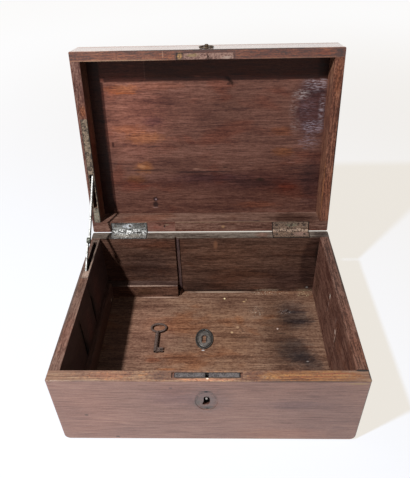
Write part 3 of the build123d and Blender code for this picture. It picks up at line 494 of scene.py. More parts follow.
floorFace = 5
paleSpecks = {"lumps": (2.0, 2.0, 2.0), "from": 0.56, "to": 0.62, "shift": 5}
darkSpecks = {"lumps": (2.0, 2.0, 2.0), "from": 0.55, "to": 0.62, "shift": 17}
bottomBoard = {
    "grain": "x", "seed": 31.0, "rough": 0.55,
    "gains": (0.9, 1.3, 1.1, 0.8), "sizes": {"streaks": (34, 1.5, 1.5)},
    "inside": ("#4d3327", "#735646", "#947661"),
    "blotch": {"colour": "#ffc890", "shade": "#b0a0a0", "strength": 0.5},
}
bottomBoard["marks"] = onFace("Z", floorFace, [
    wash((-85, 30), (60, 90), "#fff4f6", 1.12, 0.8, 0.9),
    wash((18, 20), (66, 90), "#fff6ea", 1.1, 0.8, 0.9),
    wash((92, 30), (36, 90), "#fff8f4", 0.62, 0.9, 0.7, 0.2),
    wash((116, 51), (34, 25), "#dce8fc", 0.54, 0.95, 0.7, 0.3),
    wash((122, 47), (31, 7), "#dce4fc", 0.5, 0.9, 0.9, 0.3),
    wash((119, 64), (27, 4), "#e0e8ff", 0.7, 0.8, 0.8),
    wash((109, -1), (32, 30), "#dce8fc", 0.58, 1.0, 0.7, 0.3),
    wash((112, 74), (34, 16), "#e0ecff", 0.72, 0.8, 0.9),
    wash((118, -13), (28, 14), "#d8e4fc", 0.55, 0.9, 0.9),
    wash((128, -24), (24, 18), "#dce8fc", 0.6, 0.9, 0.9),
    stain((95, 26.5), (9, 1.2), "#22130e", 0.8, 0.6),
    stain((97, 36.5), (9, 0.9), "#33201a", 0.7, 0.6),
    stain((64, 66), (12, 13), "#a89888", 0.8, 0.6, comb=paleSpecks),
    stain((63, 66), (12, 13), "#241a16", 0.8, 0.6, comb=darkSpecks),
    stain((104, 64), (13, 7), "#9c9490", 0.8, 0.6, comb=paleSpecks),
    stain((104, 62), (14, 8), "#181416", 0.8, 0.6, comb=darkSpecks),
    stain((43, 32), (9, 8), "#241a16", 0.7, 0.7, comb=darkSpecks),
    stain((45, 20), (9, 3), "#3e2c22", 0.6, 0.7),
    wash((-72, -17), (14, 5), "#ffe0d0", 1.15, 0.8),
    wash((-55, -31), (16, 4), "#ffe0c0", 1.15, 0.8),
    wash((40, 50), (9, 9), "#ffe8d0", 1.15, 0.8),
    stain((20, 90), (1.7, 1.9), "#f0dcae", 1, 0.5, 0.1),
    stain((47.5, 84), (2.6, 1.5), "#b89870", 0.9, 0.5),
    stain((51, 88), (1.4, 3), "#94785a", 0.8, 0.5),
    stain((37, 37), (3, 3), "#a8886c", 0.8, 0.7),
    stain((29, 28), (2.3, 2), "#c0a07c", 0.9, 0.6, 0.2),
    stain((90.5, 34), (1.6, 1.8), "#c4aca0", 0.95, 0.6, 0.2),
    stain((123, -18.5), (2.4, 1.2), "#8c8480", 0.8, 0.6),
    stain((-75, 93), (36, 1.8), "#a88c7c", 0.8, 0.6, 0.2),
    stain((15, 103.4), (60, 2.0), "#a49080", 0.8, 0.6, 0.2),
    stain((84, 101), (34, 4.4), "#bcac98", 0.9, 0.5, comb=paleSpecks),
    stain((136, 99), (15, 6), "#b8a480", 0.9, 0.5, comb=paleSpecks),
    # a pale fleck at the keyhole plate's lower edge: a painted glint of that edge
    stain((-9.0, -1.3), (2.6, 1.0), "#ccc8c8", 0.9, 0.5, 0.1),
])

backLedge = {
    "grain": "x", "seed": 37.0, "gains": (0.9, 2.2, 1.6, 1.0),
    "inside": ("#402a21", "#614235", "#7e5c4c"),
    "faces": [outerFace("Z", 25.4, 26.0, ("#2f201b", "#43302a", "#544038"))],
}
backLedge["marks"] = [
    # a pale line along the top front edge: painted highlight of that edge, with some wear
    stain((-90, 94.7, 26.5), (60, 1.3, 1.3), "#a48878", 0.9, 0.5, 0.15),
    wash((-95, 94.7, 15), (20, 0, 9), "#d8d0b0", 0.9, 0.6),
    stain((-60, 94.7, 7), (14, 0, 1.6), "#1c120e", 0.7, 0.6),
]
leftLedge = {
    "grain": "y", "seed": 39.0,
    "inside": ("#33211b", "#4f362d", "#654c41"),
}
leftLedge["marks"] = [
    stain((-141.5, 80, 13.6), (0, 2.0, 3.4), "#e0ceb4", 1, 0.5, 0.1),
    stain((-141.5, 70, 12), (0, 3.0, 3), "#6a5038", 0.8, 0.6, 0.5),
]
bead = {
    "grain": "z", "seed": 41.0, "rough": 0.45,
    "inside": ("#33262a", "#4d3c3c", "#665450"),
}

# the lid's outer front face: its pale colours are partly a painted sheen of the lamp on this face
lidFrontSheenFace = outerFace("Y", 236.6, 237.1, ("#a07866", "#b6907d", "#c6a494"), rough=0.07)
panelFace = -28
bloomStreak = {"lumps": (7, 1.0, 2), "from": 0.48, "to": 0.60}
lidPanel = {
    "part": "lid", "grain": "x", "seed": 43.0, "rough": 0.48, "polish": 0.05, "shine": 0.12,
    "gains": (0.8, 1.15, 0.9, 0.4),
    "inside": ("#3c2320", "#5d3d33", "#785449"),
    "faces": [
        outerFace("Z", -39.0, -39.6, outsideColours),
        lidFrontSheenFace,
    ],
    "blotch": {"colour": "#ffbc9c", "shade": "#b09ca4", "strength": 0.4},
}
lidPanel["marks"] = onFace("Z", panelFace, [
    wash((-98, 148), (64, 84), "#fff4f0", 1.93, 0.85, 0.9, 0.2),
    wash((-30, 165), (60, 50), "#fffafa", 1.25, 0.6, 0.9),
    wash((40, 62), (170, 20), "#e8dce4", 0.86, 0.9, 0.6, 0.2),
    wash((-108, 187), (30, 8), "#fff0c8", 1.7, 0.85),
    stain((-104, 182.5), (18, 1.3), "#8c4a28", 0.7, 0.6),
    wash((-60, 191), (44, 7), "#fff0e4", 1.3, 0.7),
    wash((-104, 136), (30, 8), "#fff0d4", 1.3, 0.8),
    wash((-84, 124), (36, 11), "#fff4cc", 1.35, 0.8),
    wash((-70, 146), (18, 9), "#e0d8f0", 0.85, 0.8),
    wash((-87, 83), (17, 11), "#fff0b8", 1.7, 0.9, 0.8),
    stain((-90, 84), (7, 4), "#a87a5c", 0.5, 0.9),
    wash((-100, 66), (18, 9), "#ffecb8", 1.05, 0.7),
    wash((-105, 55), (28, 11), "#ffe0d8", 1.15, 0.8),
    stain((-126, 115.5), (2.2, 4.6), "#2e1410", 0.85, 0.5, 0.1),
    stain((-130, 166), (2, 3.4), "#6c4a44", 0.5, 0.8),
    stain((-72, 112.5), (9, 1.5), "#3a2624", 0.7, 0.7),
    stain((-78, 79), (36, 1.3), "#34201c", 0.8, 0.5, lumps=(12, 2, 2)),
    stain((-10, 75.8), (62, 1.5), "#2a1c1c", 0.75, 0.6, lumps=(12, 2, 2)),
    stain((-17, 80), (7, 1.0), "#a07868", 0.7, 0.7, 0.2),
    stain((-2, 78.6), (13, 0.7), "#80584c", 0.7, 0.7, 0.2),
    wash((5, 67), (70, 9), "#dcd8ec", 0.8, 0.9),
    wash((58, 58), (34, 9), "#dce0ec", 0.8, 0.8),
    stain((69, 64), (8, 4), "#20180f", 0.75, 0.8),
    stain((22, 82), (4.4, 1.2), "#20120f", 0.8, 0.6),
    stain((57, 88), (7, 1.0), "#7c5c50", 0.5, 0.8),
    stain((110, 87.5), (9, 1.0), "#84645a", 0.5, 0.8),
    wash((96, 131), (20, 8), "#ffe4c4", 1.25, 0.8),
    wash((98, 103), (20, 9), "#ffe8b8", 1.3, 0.8),
    wash((96, 58), (60, 40), "#fff4f0", 0.88, 0.9, 0.6, 0.2),
    wash((106, 54), (18, 10), "#ffd8c4", 1.15, 0.8),
    wash((66, 26), (40, 7), "#ffe4d0", 1.2, 0.8),
    wash((140, 60), (22, 60), "#e0dcec", 0.7, 0.85),
    wash((20, 160), (60, 40), "#f0f0f0", 0.88, 0.6, 0.9),
    # a knot with a pale collar
    stain((-75.5, 27.5), (4.8, 6), "#241818", 0.85, 0.5, lumps=(3, 3, 3)),
    stain((-75, 36), (4.4, 4.8), "#281a1a", 0.85, 0.5, lumps=(3, 3, 3)),
    stain((-74.6, 35.5), (1.8, 1.8), "#8c7478", 0.8, 0.5, 0.2),
    stain((-76, 23), (5.4, 1.3), "#94746c", 0.6, 0.6),
    # painted shadow of the link staple's tip
    stain((26, 192.5), (3, 2.4), "#2e1814", 0.8, 0.6),
    # bloomed polish at the right: a dark film with pale streaks lifting from it
    wash((131, 160), (30, 50), "#dcd0ec", 0.66, 0.9, 0.6, 0.15),
    wash((134, 186), (26, 16), "#e4dcec", 0.86, 0.8, 0.8, 0.15),
    stain((136, 191), (24, 14), "#aca0a6", 0.7, 0.9, 0.1, comb=bloomStreak),
    stain((118, 178), (14, 9), "#b4a6a4", 0.75, 0.9, 0.1, comb=bloomStreak),
    stain((108, 163), (8, 20), "#98827c", 0.6, 1.0, 0.2, comb=bloomStreak),
    stain((112, 138), (9, 16), "#8c7874", 0.6, 1.0, 0.2, comb=bloomStreak),
    stain((134, 136), (20, 13), "#a89ca8", 0.75, 0.9, 0.1, comb=bloomStreak),
    stain((144, 158), (6, 30), "#a0949a", 0.65, 0.9, 0.1, comb=bloomStreak),
    stain((130, 116), (20, 14), "#94848c", 0.6, 1.0, 0.2, comb=bloomStreak),
    stain((126, 160), (18, 22), "#7c6a72", 0.45, 1.0, 0.2, comb=bloomStreak),
]) + [
    # painted shadows of the rails on its left end and its top
    paintedShadow((-142, 120, panelFace), (9.4, 107, 8), 2.5, "#ffe4dc", 0.30),
    paintedShadow((-132.6, 105, panelFace), (2.6, 92, 8), 1.4, "#ffe4dc", 0.30),
    paintedShadow((10, 199, panelFace), (140, 3.4, 8), 1.6, "#ffe4dc", 0.34),
    paintedShadow((-114, 212, panelFace), (37, 15.5, 8), 2, "#ffe0d8", 0.62),
    paintedShadow((36, 212, panelFace), (114, 15.5, 8), 2, "#ffdccc", 0.46),
    paintedShadow((143, 212, panelFace), (10, 15.5, 8), 6, "#ffe4d8", 0.4),
]

rubbedComb = {"lumps": (2, 2, 2), "from": 0.4, "to": 0.5}
lidFrontRail = {
    "part": "lid", "grain": "x", "seed": 47.0, "rough": 0.45, "polish": 0.5, "glaze": 0.1, "shine": 0.5,
    "rag": 0.5,
    "gains": (1.0, 1.7, 1.4, 1.0),
    "inside": ("#281610", "#41281f", "#5a3b2f"),
    "faces": [
        outerFace(*lidRim, ("#351a10", "#5b2f1f", "#7d4c33")),
        lidFrontSheenFace,
    ],
}
lidFrontRail["marks"] = [
    wash((90, 231, 0), (64, 8, 1), "#ffe8d8", 0.85, 0.9, 0.4),
    wash((-48, 231, 0), (18, 7, 1), "#fff4d8", 1.3, 0.9),
    stain((-31, 229.9, 0), (5, 6, 4), "#b88c50", 0.85, 0.6, comb=rubbedComb),
    # painted shade of the gap round the link plate, and dirt
    edgeShadeAndDirt((-1.5, 228.6, 0), (34.4, 6.2, wholeAxis), 1.1, "#3a1c18", 0.75),
    stain((-50.5, 232, 0), (0.8, 6, 1.5), "#b89478", 0.35, 0.6, 0.1),
    wash((70, 233, 0), (13, 5, 1), "#ece0f4", 0.85, 0.8),
    wash((136, 231, 0), (16, 6, 1), "#ffd8a8", 1.15, 0.8),
    wash((154, 231, 0), (8, 8, 1), "#987468", 0.8, 0.8),
    stain((-100, 226.4, -0.2), (70, 0.9, 0.9), "#a08468", 0.4, 0.4, 0.15),
    stain((100, 226.4, -0.2), (70, 0.9, 0.9), "#80604a", 0.3, 0.4, 0.15),
    stain((0, 236.9, -0.2), (160, 1.0, 1.0), "#201310", 0.85, 0.4, 0.15),
    # painted shadow of the link staple on the rail's inner face
    stain((27, 225.9, -14), (5, 1, 5), "#160d0a", 0.6, 0.7),
]

lidBackRail = {
    "part": "lid", "grain": "x", "seed": 49.0, "rag": 0.5,
    "inside": ("#432b24", "#6a4e43", "#8c6e60"),
    "faces": [
        outerFace(*lidRim, ("#40261f", "#65463b", "#8f6e60")),
        outerFace("Y", 1.8, 1.2, outsideColours),
    ],
}
lidBackRail["marks"] = [
    stain((18.4, 6.5, 0), (3.4, 2.8, 1.5), "#a07c5c", 0.85, 0.7),
    stain((64.5, 13.9, -2), (6, 1, 1.8), "#0f0b0a", 0.95, 0.6, 0.2),
    stain((40, 13.9, -2.5), (38, 1, 1.3), "#40323a", 0.7, 0.7),
    wash((110, 13.9, -10), (44, 2, 20), "#a09088", 0.75, 0.8),
    wash((-90, 13.9, -10), (40, 2, 20), "#ffe0d0", 1.2, 0.7),
    stain((0, 13.6, 0), (150, 1.0, 1.0), "#8c7460", 0.6, 0.4),
]
railPatch = {
    **lidBackRail, "seed": 51.0,
    "faces": [outerFace(*lidRim, ("#4e3028", "#70493e", "#8c665a"))],
}
railPatch["marks"] = [
    stain((-61.4, 7, 0), (1.6, 1.5, 2), "#0d0807", 0.95, 0.4, 0.1),
    stain((-67.5, 9.5, 0), (3.4, 1.2, 2), "#2c1c16", 0.7, 0.6),
    wash((-73, 6, 0), (10, 4, 2), "#ffe8e4", 1.1, 0.7),
    stain((-58, 10, 0), (5, 1.4, 2), "#80705c", 0.6, 0.7),
]

lidSides = {
    "part": "lid", "grain": "y", "rag": 0.5,
    "gains": (1.0, 2.2, 1.8, 1.4),
    "inside": ("#442820", "#60402f", "#7c5644"),
}
lidLeftRail = {
    **lidSides, "seed": 53.0,
    "faces": [
        outerFace(*lidRim, ("#3c241e", "#5e3e36", "#7b5e53")),
        outerFace("X", -159.0, -159.6, outsideColours),
    ],
}
lidLeftRail["marks"] = [
    wash((-152, 167, 0), (7, 11, 2), "#ffe8c0", 1.35, 0.9),
    stain((-159.6, 160, 0), (1.0, 90, 1.2), "#4c1f16", 0.7, 0.5),
    stain((-148.8, 170, 0), (0.9, 60, 0.9), "#4c3028", 0.7, 0.5),
    wash((-148.5, 138, -14), (1, 56, 20), "#f0e4e4", 2.0, 0.8),
    wash((-148.5, 80, -14), (1, 80, 20), "#e8a080", 1.0, 0.6),
]
lidRightRail = {
    **lidSides, "seed": 55.0, "gains": (1.0, 2.2, 1.8, 1.3),
    "inside": ("#492921", "#6d4838", "#8f6953"),
    "faces": [
        outerFace(*lidRim, ("#44271d", "#684032", "#8c604c")),
        outerFace("X", 159.0, 159.6, outsideColours),
    ],
}
lidRightRail["marks"] = [
    wash((148.5, 160, -20), (1, 60, 14), "#d8c8d0", 1.05, 0.6),
    stain((159.6, 120, 0), (1.4, 130, 1.4), "#2e1812", 0.85, 0.6),
    stain((149, 60, 0), (0.9, 60, 0.9), "#8c5c38", 0.7, 0.6, 0.5),
    wash((154, 200, 0), (5, 30, 2), "#fff0d8", 1.2, 0.7),
]

woodwork = {
    "frontMahogany": (frontBoard, ["front_board"]),
    "backMahogany": (backBoard, ["back_board"]),
    "leftMahogany": (leftBoard, ["left_board"]),
    "rightMahogany": (rightBoard, ["right_board"]),
    "bottomMahogany": (bottomBoard, ["bottom_board"]),
    "ledgeMahogany": (backLedge, ["back_ledge", "divider_stub"]),
    "leftLedgeMahogany": (leftLedge, ["left_ledge"]),
    "beadMahogany": (bead, ["divider_bead"]),
    "panelMahogany": (lidPanel, ["lid_top_board"]),
    "lidFrontMahogany": (lidFrontRail, ["lid_front_rail"]),
    "lidBackMahogany": (lidBackRail, ["lid_back_rail"]),
    "patchMahogany": (railPatch, ["lid_rail_patch"]),
    "lidLeftMahogany": (lidLeftRail, ["lid_left_rail"]),
    "lidRightMahogany": (lidRightRail, ["lid_right_rail"]),
}
for name, (board, pieces) in woodwork.items():
    dress(oldMahogany(name, board), pieces)
print("wood done")

# metals: bare where hands and arms rub, under a tarnish that lies in patches
patchNoise = {"detail": 5, "roughness": 0.7, "distortion": 0.4}
speckNoise = {"sizes": (1.3, 1.3, 1.3), "detail": 3, "roughness": 0.7}
# the film's share of patches and specks, how much it roughens, and where the specks' shift starts
filmShares = (0.6, 0.4)
filmRough = 0.3
speckShift = 4
metalRelief = (0.4, 0.0003)
plainMetal = {"part": "box", "marks": []}


def oldMetal(name, metal):
    metal = {**plainMetal, **metal}
    material, tree = newMaterial(name)
    place = placeInMm(tree, metal["part"])
    patches = lumps(tree, place, (metal["patch"],) * 3, shift=metal["seed"], **patchNoise)
    specks = lumps(tree, place, shift=metal["seed"] + speckShift, **speckNoise)
    parts = [times(tree, noise, share) for noise, share in zip((patches, specks), filmShares)]
    film = fadeBetween(tree, calculate(tree, "ADD", *parts), *metal["film"])
    colour = blendColour(tree, film, metal["bare"], metal["tarnish"])
    colour = layMarks(tree, place, colour, metal["marks"])
    rough = calculate(tree, "ADD", times(tree, film, filmRough), metal["rough"])
    dulled = times(tree, film, metal["dulling"])
    metallic = calculate(tree, "SUBTRACT", metal["metallic"], dulled)
    links = {"Base Color": colour, "Metallic": metallic, "Roughness": rough}
    coverWith(tree, specks, metalRelief, {}, links)
    return material


dullBrass = {
    "bare": "#8f7a68", "tarnish": "#3e3029", "metallic": 0.7, "dulling": 0.5, "rough": 0.4,
    "patch": 3.5, "film": (0.38, 0.62), "seed": 1.0,
}
mottledBrass = {
    **dullBrass, "part": "lid", "bare": "#94806c", "tarnish": "#2e241c", "seed": 2.0, "patch": 4,
    "film": (0.42, 0.56),
}
mottledBrass["marks"] = [
    stain((-153, 24, 0), (8, 13, 3), "#8f8c7c", 0.8, 0.5, comb={**rubbedComb, "to": 0.55}),
    # painted shade of the gap round the plate, and dirt
    edgeShadeAndDirt((-152.8, 85, 0), (4.2, 74, wholeAxis), 1.0, "#1e1610", 0.8),
]
linkBrass = {
    **dullBrass, "part": "lid", "bare": "#9a7b6f", "tarnish": "#523630", "seed": 2.5, "film": (0.44, 0.58),
    "patch": 2.6,
}
linkBrass["marks"] = [
    # painted shade of the gap round the plate, and dirt
    edgeShadeAndDirt((2.5, 229.6, 0), (29.3, 4.2, wholeAxis), 0.9, "#4a2c26", 0.8),
    stain((-16, 231, 0), (10, 2.4, 3), "#86744c", 0.7, 0.8, 0.6, lumps=(2, 2, 2)),
    stain((24, 228, 0), (8, 2.4, 3), "#a89488", 0.7, 0.8, 0.6, lumps=(2, 2, 2)),
    stain((0.5, 229.5, 0), (1.6, 3.6, 2), "#1a0e0c", 0.9, 0.4, lumps=(2, 2, 2)),
]
paleBrass = {
    **dullBrass, "bare": "#b49a8c", "tarnish": "#7c6658", "seed": 3.0,
}
paleBrass["marks"] = [
    # painted shade of the gap round the plate, and dirt
    edgeShadeAndDirt((-152.5, 65.6, 106), (4.5, 37.2, wholeAxis), 1.0, "#2a1e1a", 0.8),
    stain((-152.5, 92, 106), (7, 40, 8), "#43352d", 0.8, 0.7),
]
glintyWornHinge = {
    **dullBrass, "bare": "#a6a6a4", "tarnish": "#34302c", "rough": 0.35, "seed": 4.0, "patch": 4.4,
    "film": (0.45, 0.57),
}
glintyWornHinge["marks"] = [
    # pale patches on the lid leaf and knuckle: painted highlights
    stain((-112, 121.5, 114), (8, 9, 4.5), "#dce0e6", 0.9, 0.5, 0.4, lumps=(3, 3, 3)),
    stain((-126, 120.8, 110.5), (9, 9, 2.4), "#c8c8c4", 0.5, 0.6, 0.5, lumps=(3, 3, 3)),
    stain((-122, 122, 117.5), (11, 9, 1.8), "#2a2422", 0.8, 0.6, 0.6, lumps=(3, 3, 3)),
    stain((-96, 122, 116), (11, 9, 2.6), "#4c4440", 0.7, 0.8, 0.6, lumps=(2.4, 2.4, 2.4)),
    stain((-110, 110.6, 105.5), (26, 5.4, 3), "#8c8478", 0.6, 0.5, 0.5, lumps=(3, 3, 3)),
    # painted shade of the gaps round the leaf edges, and dirt
    edgeShadeAndDirt((-110, 125.2, 106), (24.6, 20, wholeAxis), 1.2, "#241c18", 0.9),
    edgeShadeAndDirt((-110, 121.5, 98.9), (24.7, wholeAxis, 20), 1.0, "#2a2220", 0.85),
]
goldHinge = {
    **dullBrass, "bare": "#a28a78", "tarnish": "#35231c", "film": (0.45, 0.57), "seed": 6.0, "patch": 2.2,
}
goldHinge["marks"] = [
    stain((112, 121.5, 114), (10, 9, 3.4), "#8c8a74", 0.6, 0.7, 0.6, lumps=(2, 2, 2)),
    stain((124, 112, 106), (12, 6, 4), "#a88a80", 0.7, 0.7, 0.6, lumps=(2, 2, 2)),
    # painted shade of the gaps round the leaf edges, and dirt
    edgeShadeAndDirt((110, 125.2, 106), (24.6, 20, wholeAxis), 1.2, "#1c130e", 0.9),
    edgeShadeAndDirt((110, 121.5, 98.9), (24.7, wholeAxis, 20), 1.1, "#1c1412", 0.85),
]
hingeScrews = {
    **dullBrass, "bare": "#6a5a50", "tarnish": "#2a2220", "seed": 6.5,
    "marks": [stain((-110, 112, 106), (40, 40, 40), "#76726c", 0.8, 0.2, 0)],
}
brightSteel = {
    "bare": "#979794", "tarnish": "#63615d", "metallic": 0.5, "dulling": 0.2, "rough": 0.45,
    "patch": 5, "film": (0.48, 0.62), "seed": 5.0,
}
brightSteel["marks"] = [
    stain((-150.6, 0, 0), (0.7, wholeAxis, wholeAxis), "#55524c", 0.8, 0.4, 0),
    stain((-152.95, 0, 0), (0.45, wholeAxis, wholeAxis), "#4a4642", 0.8, 0.4, 0),
    stain((-153, 73, 128.5), (8, 5.2, 5.2), "#4c4e42", 0.9, 0.25, 0.1),
]
lockSteel = {
    "bare": "#736c6b", "tarnish": "#363030", "metallic": 0.6, "dulling": 0.3, "rough": 0.45,
    "patch": 5, "film": (0.40, 0.60), "seed": 7.0,
    # the selvedge's edge line is painted shade of its gap, and dirt
    "marks": [edgeShadeAndDirt((0, -110.3, 106), (32.1, 2.8, wholeAxis), 0.8, "#1c1817", 0.8)],
}
plateSteel = {
    **lockSteel, "bare": "#62605c", "tarnish": "#38322e", "seed": 8.0,
}
plateSteel["marks"] = [
    stain((-7.8, 16.7, 7), (12.2, 17, 9), "#201917", 0.9, 0.16, 0.1, hollow=0.84),
    stain((-7.8, 15.5, 7), (8.2, 12.2, 9), "#8a827c", 0.6, 0.3, hollow=0.7),
    stain((-7.8, 17.5, 7), (5.6, 9.4, 9), "#2a2220", 0.6, 0.4),
]
elbowSteel = {**lockSteel, "bare": "#6a6c5e", "tarnish": "#34362e", "seed": 8.5, "marks": []}
pinSteel = {**lockSteel, "bare": "#b0aaa4", "tarnish": "#88827c", "metallic": 0.3, "seed": 8.7, "marks": []}
rustyIron = {
    "bare": "#75625a", "tarnish": "#2c1e18", "metallic": 0.4, "dulling": 0.3, "rough": 0.45,
    "patch": 3, "film": (0.35, 0.65), "seed": 9.0,
}
darkBronze = {
    "bare": "#5b4a38", "tarnish": "#241d18", "metallic": 0.9, "dulling": 0.3, "rough": 0.35,
    "patch": 3, "film": (0.35, 0.65), "seed": 12.0,
}

metals = {
    "dullBrass": dullBrass, "hingeScrewBrass": hingeScrews, "goldHingeBrass": goldHinge,
    "glintyWornHingeBrass": glintyWornHinge, "mottledBrass": mottledBrass, "linkBrass": linkBrass, "paleBrass": paleBrass,
    "brightSteel": brightSteel, "lockSteel": lockSteel, "plateSteel": plateSteel, "elbowSteel": elbowSteel,
    "pinSteel": pinSteel, "rustyIron": rustyIron, "darkBronze": darkBronze,
}
finishes = {name: oldMetal(name, metal) for name, metal in metals.items()}
metalwork = {
    "dullBrass": ["hinge_right_pin", "stay_lid_pin"],
    "hingeScrewBrass": ["hinge_box_screws", "hinge_lid_screws"],
    "mottledBrass": ["stay_lid_screws"],
    "linkBrass": ["link_staple", "link_screws"],
    "paleBrass": ["stay_box_pin", "stay_box_screws"],
    "glintyWornHingeBrass": ["hinge_left_pin"],
    "pinSteel": ["lock_drill_pin"],
    "lockSteel": [
        "lock_selvedge", "lock_case", "lock_cap",
        "lock_bolt", "lock_bolt_spring", "lock_bolt_studs", "lock_screws",
    ],
    "rustyIron": ["bottom_brads"],
}
for name, pieces in metalwork.items():
    dress(finishes[name], pieces)
print("metals done")


def inMetres(values):
    return [value / 1000 for value in values]


# small metal pieces: stamped, filed and cast, their edges worn round and their faces knocked about
plainWear = {"eased": 2, "dentSize": 2.5, "level": 0.5}
# corners this near each other are one, in metres; edges this sharp stay sharp, in degrees
mergeWithin = 0.00001
smoothBelow = 40


def switchTo(mode):
    bpy.ops.object.mode_set(mode=mode)


def alone(piece):
    # operators act on all that is selected
    bpy.ops.object.select_all(action="DESELECT")
    piece.select_set(True)
    bpy.context.view_layer.objects.active = piece


def addShape(add, **settings):
    bpy.ops.object.select_all(action="DESELECT")
    add(**settings)
    return bpy.context.object


def applyPlace():
    bpy.ops.object.transform_apply(location=True, rotation=True, scale=True)


def faceOutwards():
    bpy.ops.mesh.select_all(action="SELECT")
    bpy.ops.mesh.normals_make_consistent(inside=False)


def applyModifier(piece, kind, settings):
    alone(piece)
    modifier = piece.modifiers.new(kind.title(), kind)
    for key, value in settings.items():
        setattr(modifier, key, value)
    bpy.ops.object.modifier_apply(modifier=modifier.name)


def knockAbout(piece, wear):
    # lengths in millimetres: the grid, how many times its corners are eased, how deep and wide the dents are,
    # and where between them the old surface lies: past 1 the whole piece is thinner
    wear = {**plainWear, **wear}
    applyModifier(piece, "REMESH", {"mode": "VOXEL", "voxel_size": wear["grid"] / 1000})
    applyModifier(piece, "SMOOTH", {"factor": 0.5, "iterations": wear["eased"]})
    dents = bpy.data.textures.new(piece.name + "Dents", "CLOUDS")
    dents.noise_scale = wear["dentSize"] / 1000
    strength = wear["dents"] / 1000
    applyModifier(
        piece, "DISPLACE",
        {"texture": dents, "texture_coords": "LOCAL", "strength": strength, "mid_level": wear["level"]},
    )


def setDown(piece, name, body, stands, finish):
    alone(piece)
    applyPlace()
    bpy.ops.object.shade_smooth_by_angle(angle=radians(smoothBelow))
    piece.name = name
    piece.data.name = name
    piece.data.materials.clear()
    piece.data.materials.append(finishes[finish])
    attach(piece, body)
    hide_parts(*stands)


def wornCopy(name, work):
    piece = bpy.data.objects.new(name, nodes[work["node"]].data.copy())
    bpy.context.scene.collection.objects.link(piece)
    alone(piece)
    switchTo("EDIT")
    bpy.ops.mesh.select_all(action="SELECT")
    bpy.ops.mesh.remove_doubles(threshold=mergeWithin)
    faceOutwards()
    switchTo("OBJECT")
    knockAbout(piece, work["wear"])
    setDown(piece, name, work["body"], [work["node"]], work["finish"])


plateWork = {"slot": "aged_brass", "wear": {"grid": 0.35, "dents": 0.16}}
armWork = {"slot": "bright_steel", "finish": "brightSteel", "wear": {"grid": 0.3, "dents": 0.08}}
hardware = {
    "leftBoxLeaf": {**plateWork, "node": "hinge_left_box_leaf", "body": "box", "finish": "glintyWornHingeBrass"},
    "leftLidLeaf": {**plateWork, "node": "hinge_left_lid_leaf", "body": "lid", "finish": "glintyWornHingeBrass"},
    "rightBoxLeaf": {**plateWork, "node": "hinge_right_box_leaf", "body": "box", "finish": "goldHingeBrass"},
    "rightLidLeaf": {**plateWork, "node": "hinge_right_lid_leaf", "body": "lid", "finish": "goldHingeBrass"},
    "boxStayPlate": {**plateWork, "node": "stay_box_plate", "body": "box", "finish": "paleBrass"},
    "lidStayPlate": {**plateWork, "node": "stay_lid_plate", "body": "lid", "finish": "mottledBrass"},
    "linkPlate": {**plateWork, "node": "link_plate", "body": "lid", "finish": "linkBrass"},
    "lowerArm": {**armWork, "node": "stay_lower_arm", "body": "lower_arm"},
    "upperArm": {**armWork, "node": "stay_upper_arm", "body": "upper_arm"},
    "ringBoss": {
        "node": "ring_boss", "body": "lid", "finish": "darkBronze", "slot": "bronze",
        "wear": {"grid": 0.2, "eased": 3, "dents": 0.1},
    },
    "oldKey": {
        "node": "key", "body": "key", "finish": "rustyIron", "slot": "rusty_iron",
        "wear": {"grid": 0.3, "eased": 4, "dents": 0.3, "dentSize": 1.6, "level": 1.4},
    },
}
for name, work in hardware.items():
    wornCopy(name, work)
print("hardware done")


def turnedPiece(work):
    # a solid of revolution from (distance along, radius) pairs in millimetres
    (along, radius), *rest = work["profile"]
    piece = addShape(
        bpy.ops.mesh.primitive_circle_add, vertices=work["sides"], radius=radius / 1000, fill_type="NGON",
        location=(0, 0, along / 1000),
    )
    switchTo("EDIT")
    for nextAlong, nextRadius in rest:
        bpy.ops.mesh.extrude_region_move(TRANSFORM_OT_translate={"value": (0, 0, (nextAlong - along) / 1000)})
        growth = nextRadius / radius
        bpy.ops.transform.resize(value=(growth, growth, 1), center_override=(0, 0, nextAlong / 1000))
        along, radius = nextAlong, nextRadius
    faceOutwards()
    switchTo("OBJECT")
    applyPlace()
    piece.location = inMetres(work["centre"])
    piece.rotation_euler = [radians(a) for a in work["turn"]]
    applyPlace()
    return piece


# from the middle of a head's face out to its rim, then in to the shank
rivetHead = ((2.25, 1.1), (2.22, 1.9), (2.05, 2.6), (2.0, 2.7), (2.0, 1.3))
elbowRivet = {
    "centre": (-152.95, 73.0, 128.52), "turn": (0, 90, 0), "sides": 40,
    "profile": [(-along, radius) for along, radius in rivetHead] + list(reversed(rivetHead)),
}
setDown(turnedPiece(elbowRivet), "elbowRivet", "lower_arm", ["stay_elbow_rivet"], "elbowSteel")

# the pull ring: drawn wire a little flat from wear, and thinnest where it hangs in the boss
pullRing = {
    "centre": (0, 167.99, 340.07), "tilt": -9.5, "radius": 8.0, "wire": 1.0, "around": 96, "sides": 16,
    "flat": 0.95, "wornFrom": 5.8, "wornTo": 0.9,
    "wear": {"grid": 0.22, "dents": 0.12, "dentSize": 1.5},
}
ring = addShape(
    bpy.ops.mesh.primitive_torus_add,
    major_radius=pullRing["radius"] / 1000, minor_radius=pullRing["wire"] / 1000,
    major_segments=pullRing["around"], minor_segments=pullRing["sides"],
)
for corner in ring.data.vertices:
    corner.select = corner.co.y > pullRing["wornFrom"] / 1000
switchTo("EDIT")
bpy.ops.mesh.select_mode(type="VERT")
bpy.ops.transform.resize(value=(1, 1, pullRing["wornTo"]), center_override=(0, 0, 0))
bpy.ops.mesh.select_all(action="SELECT")
bpy.ops.transform.resize(value=(1, 1, pullRing["flat"]), center_override=(0, 0, 0))
switchTo("OBJECT")
ring.rotation_euler = (radians(pullRing["tilt"]), 0, 0)
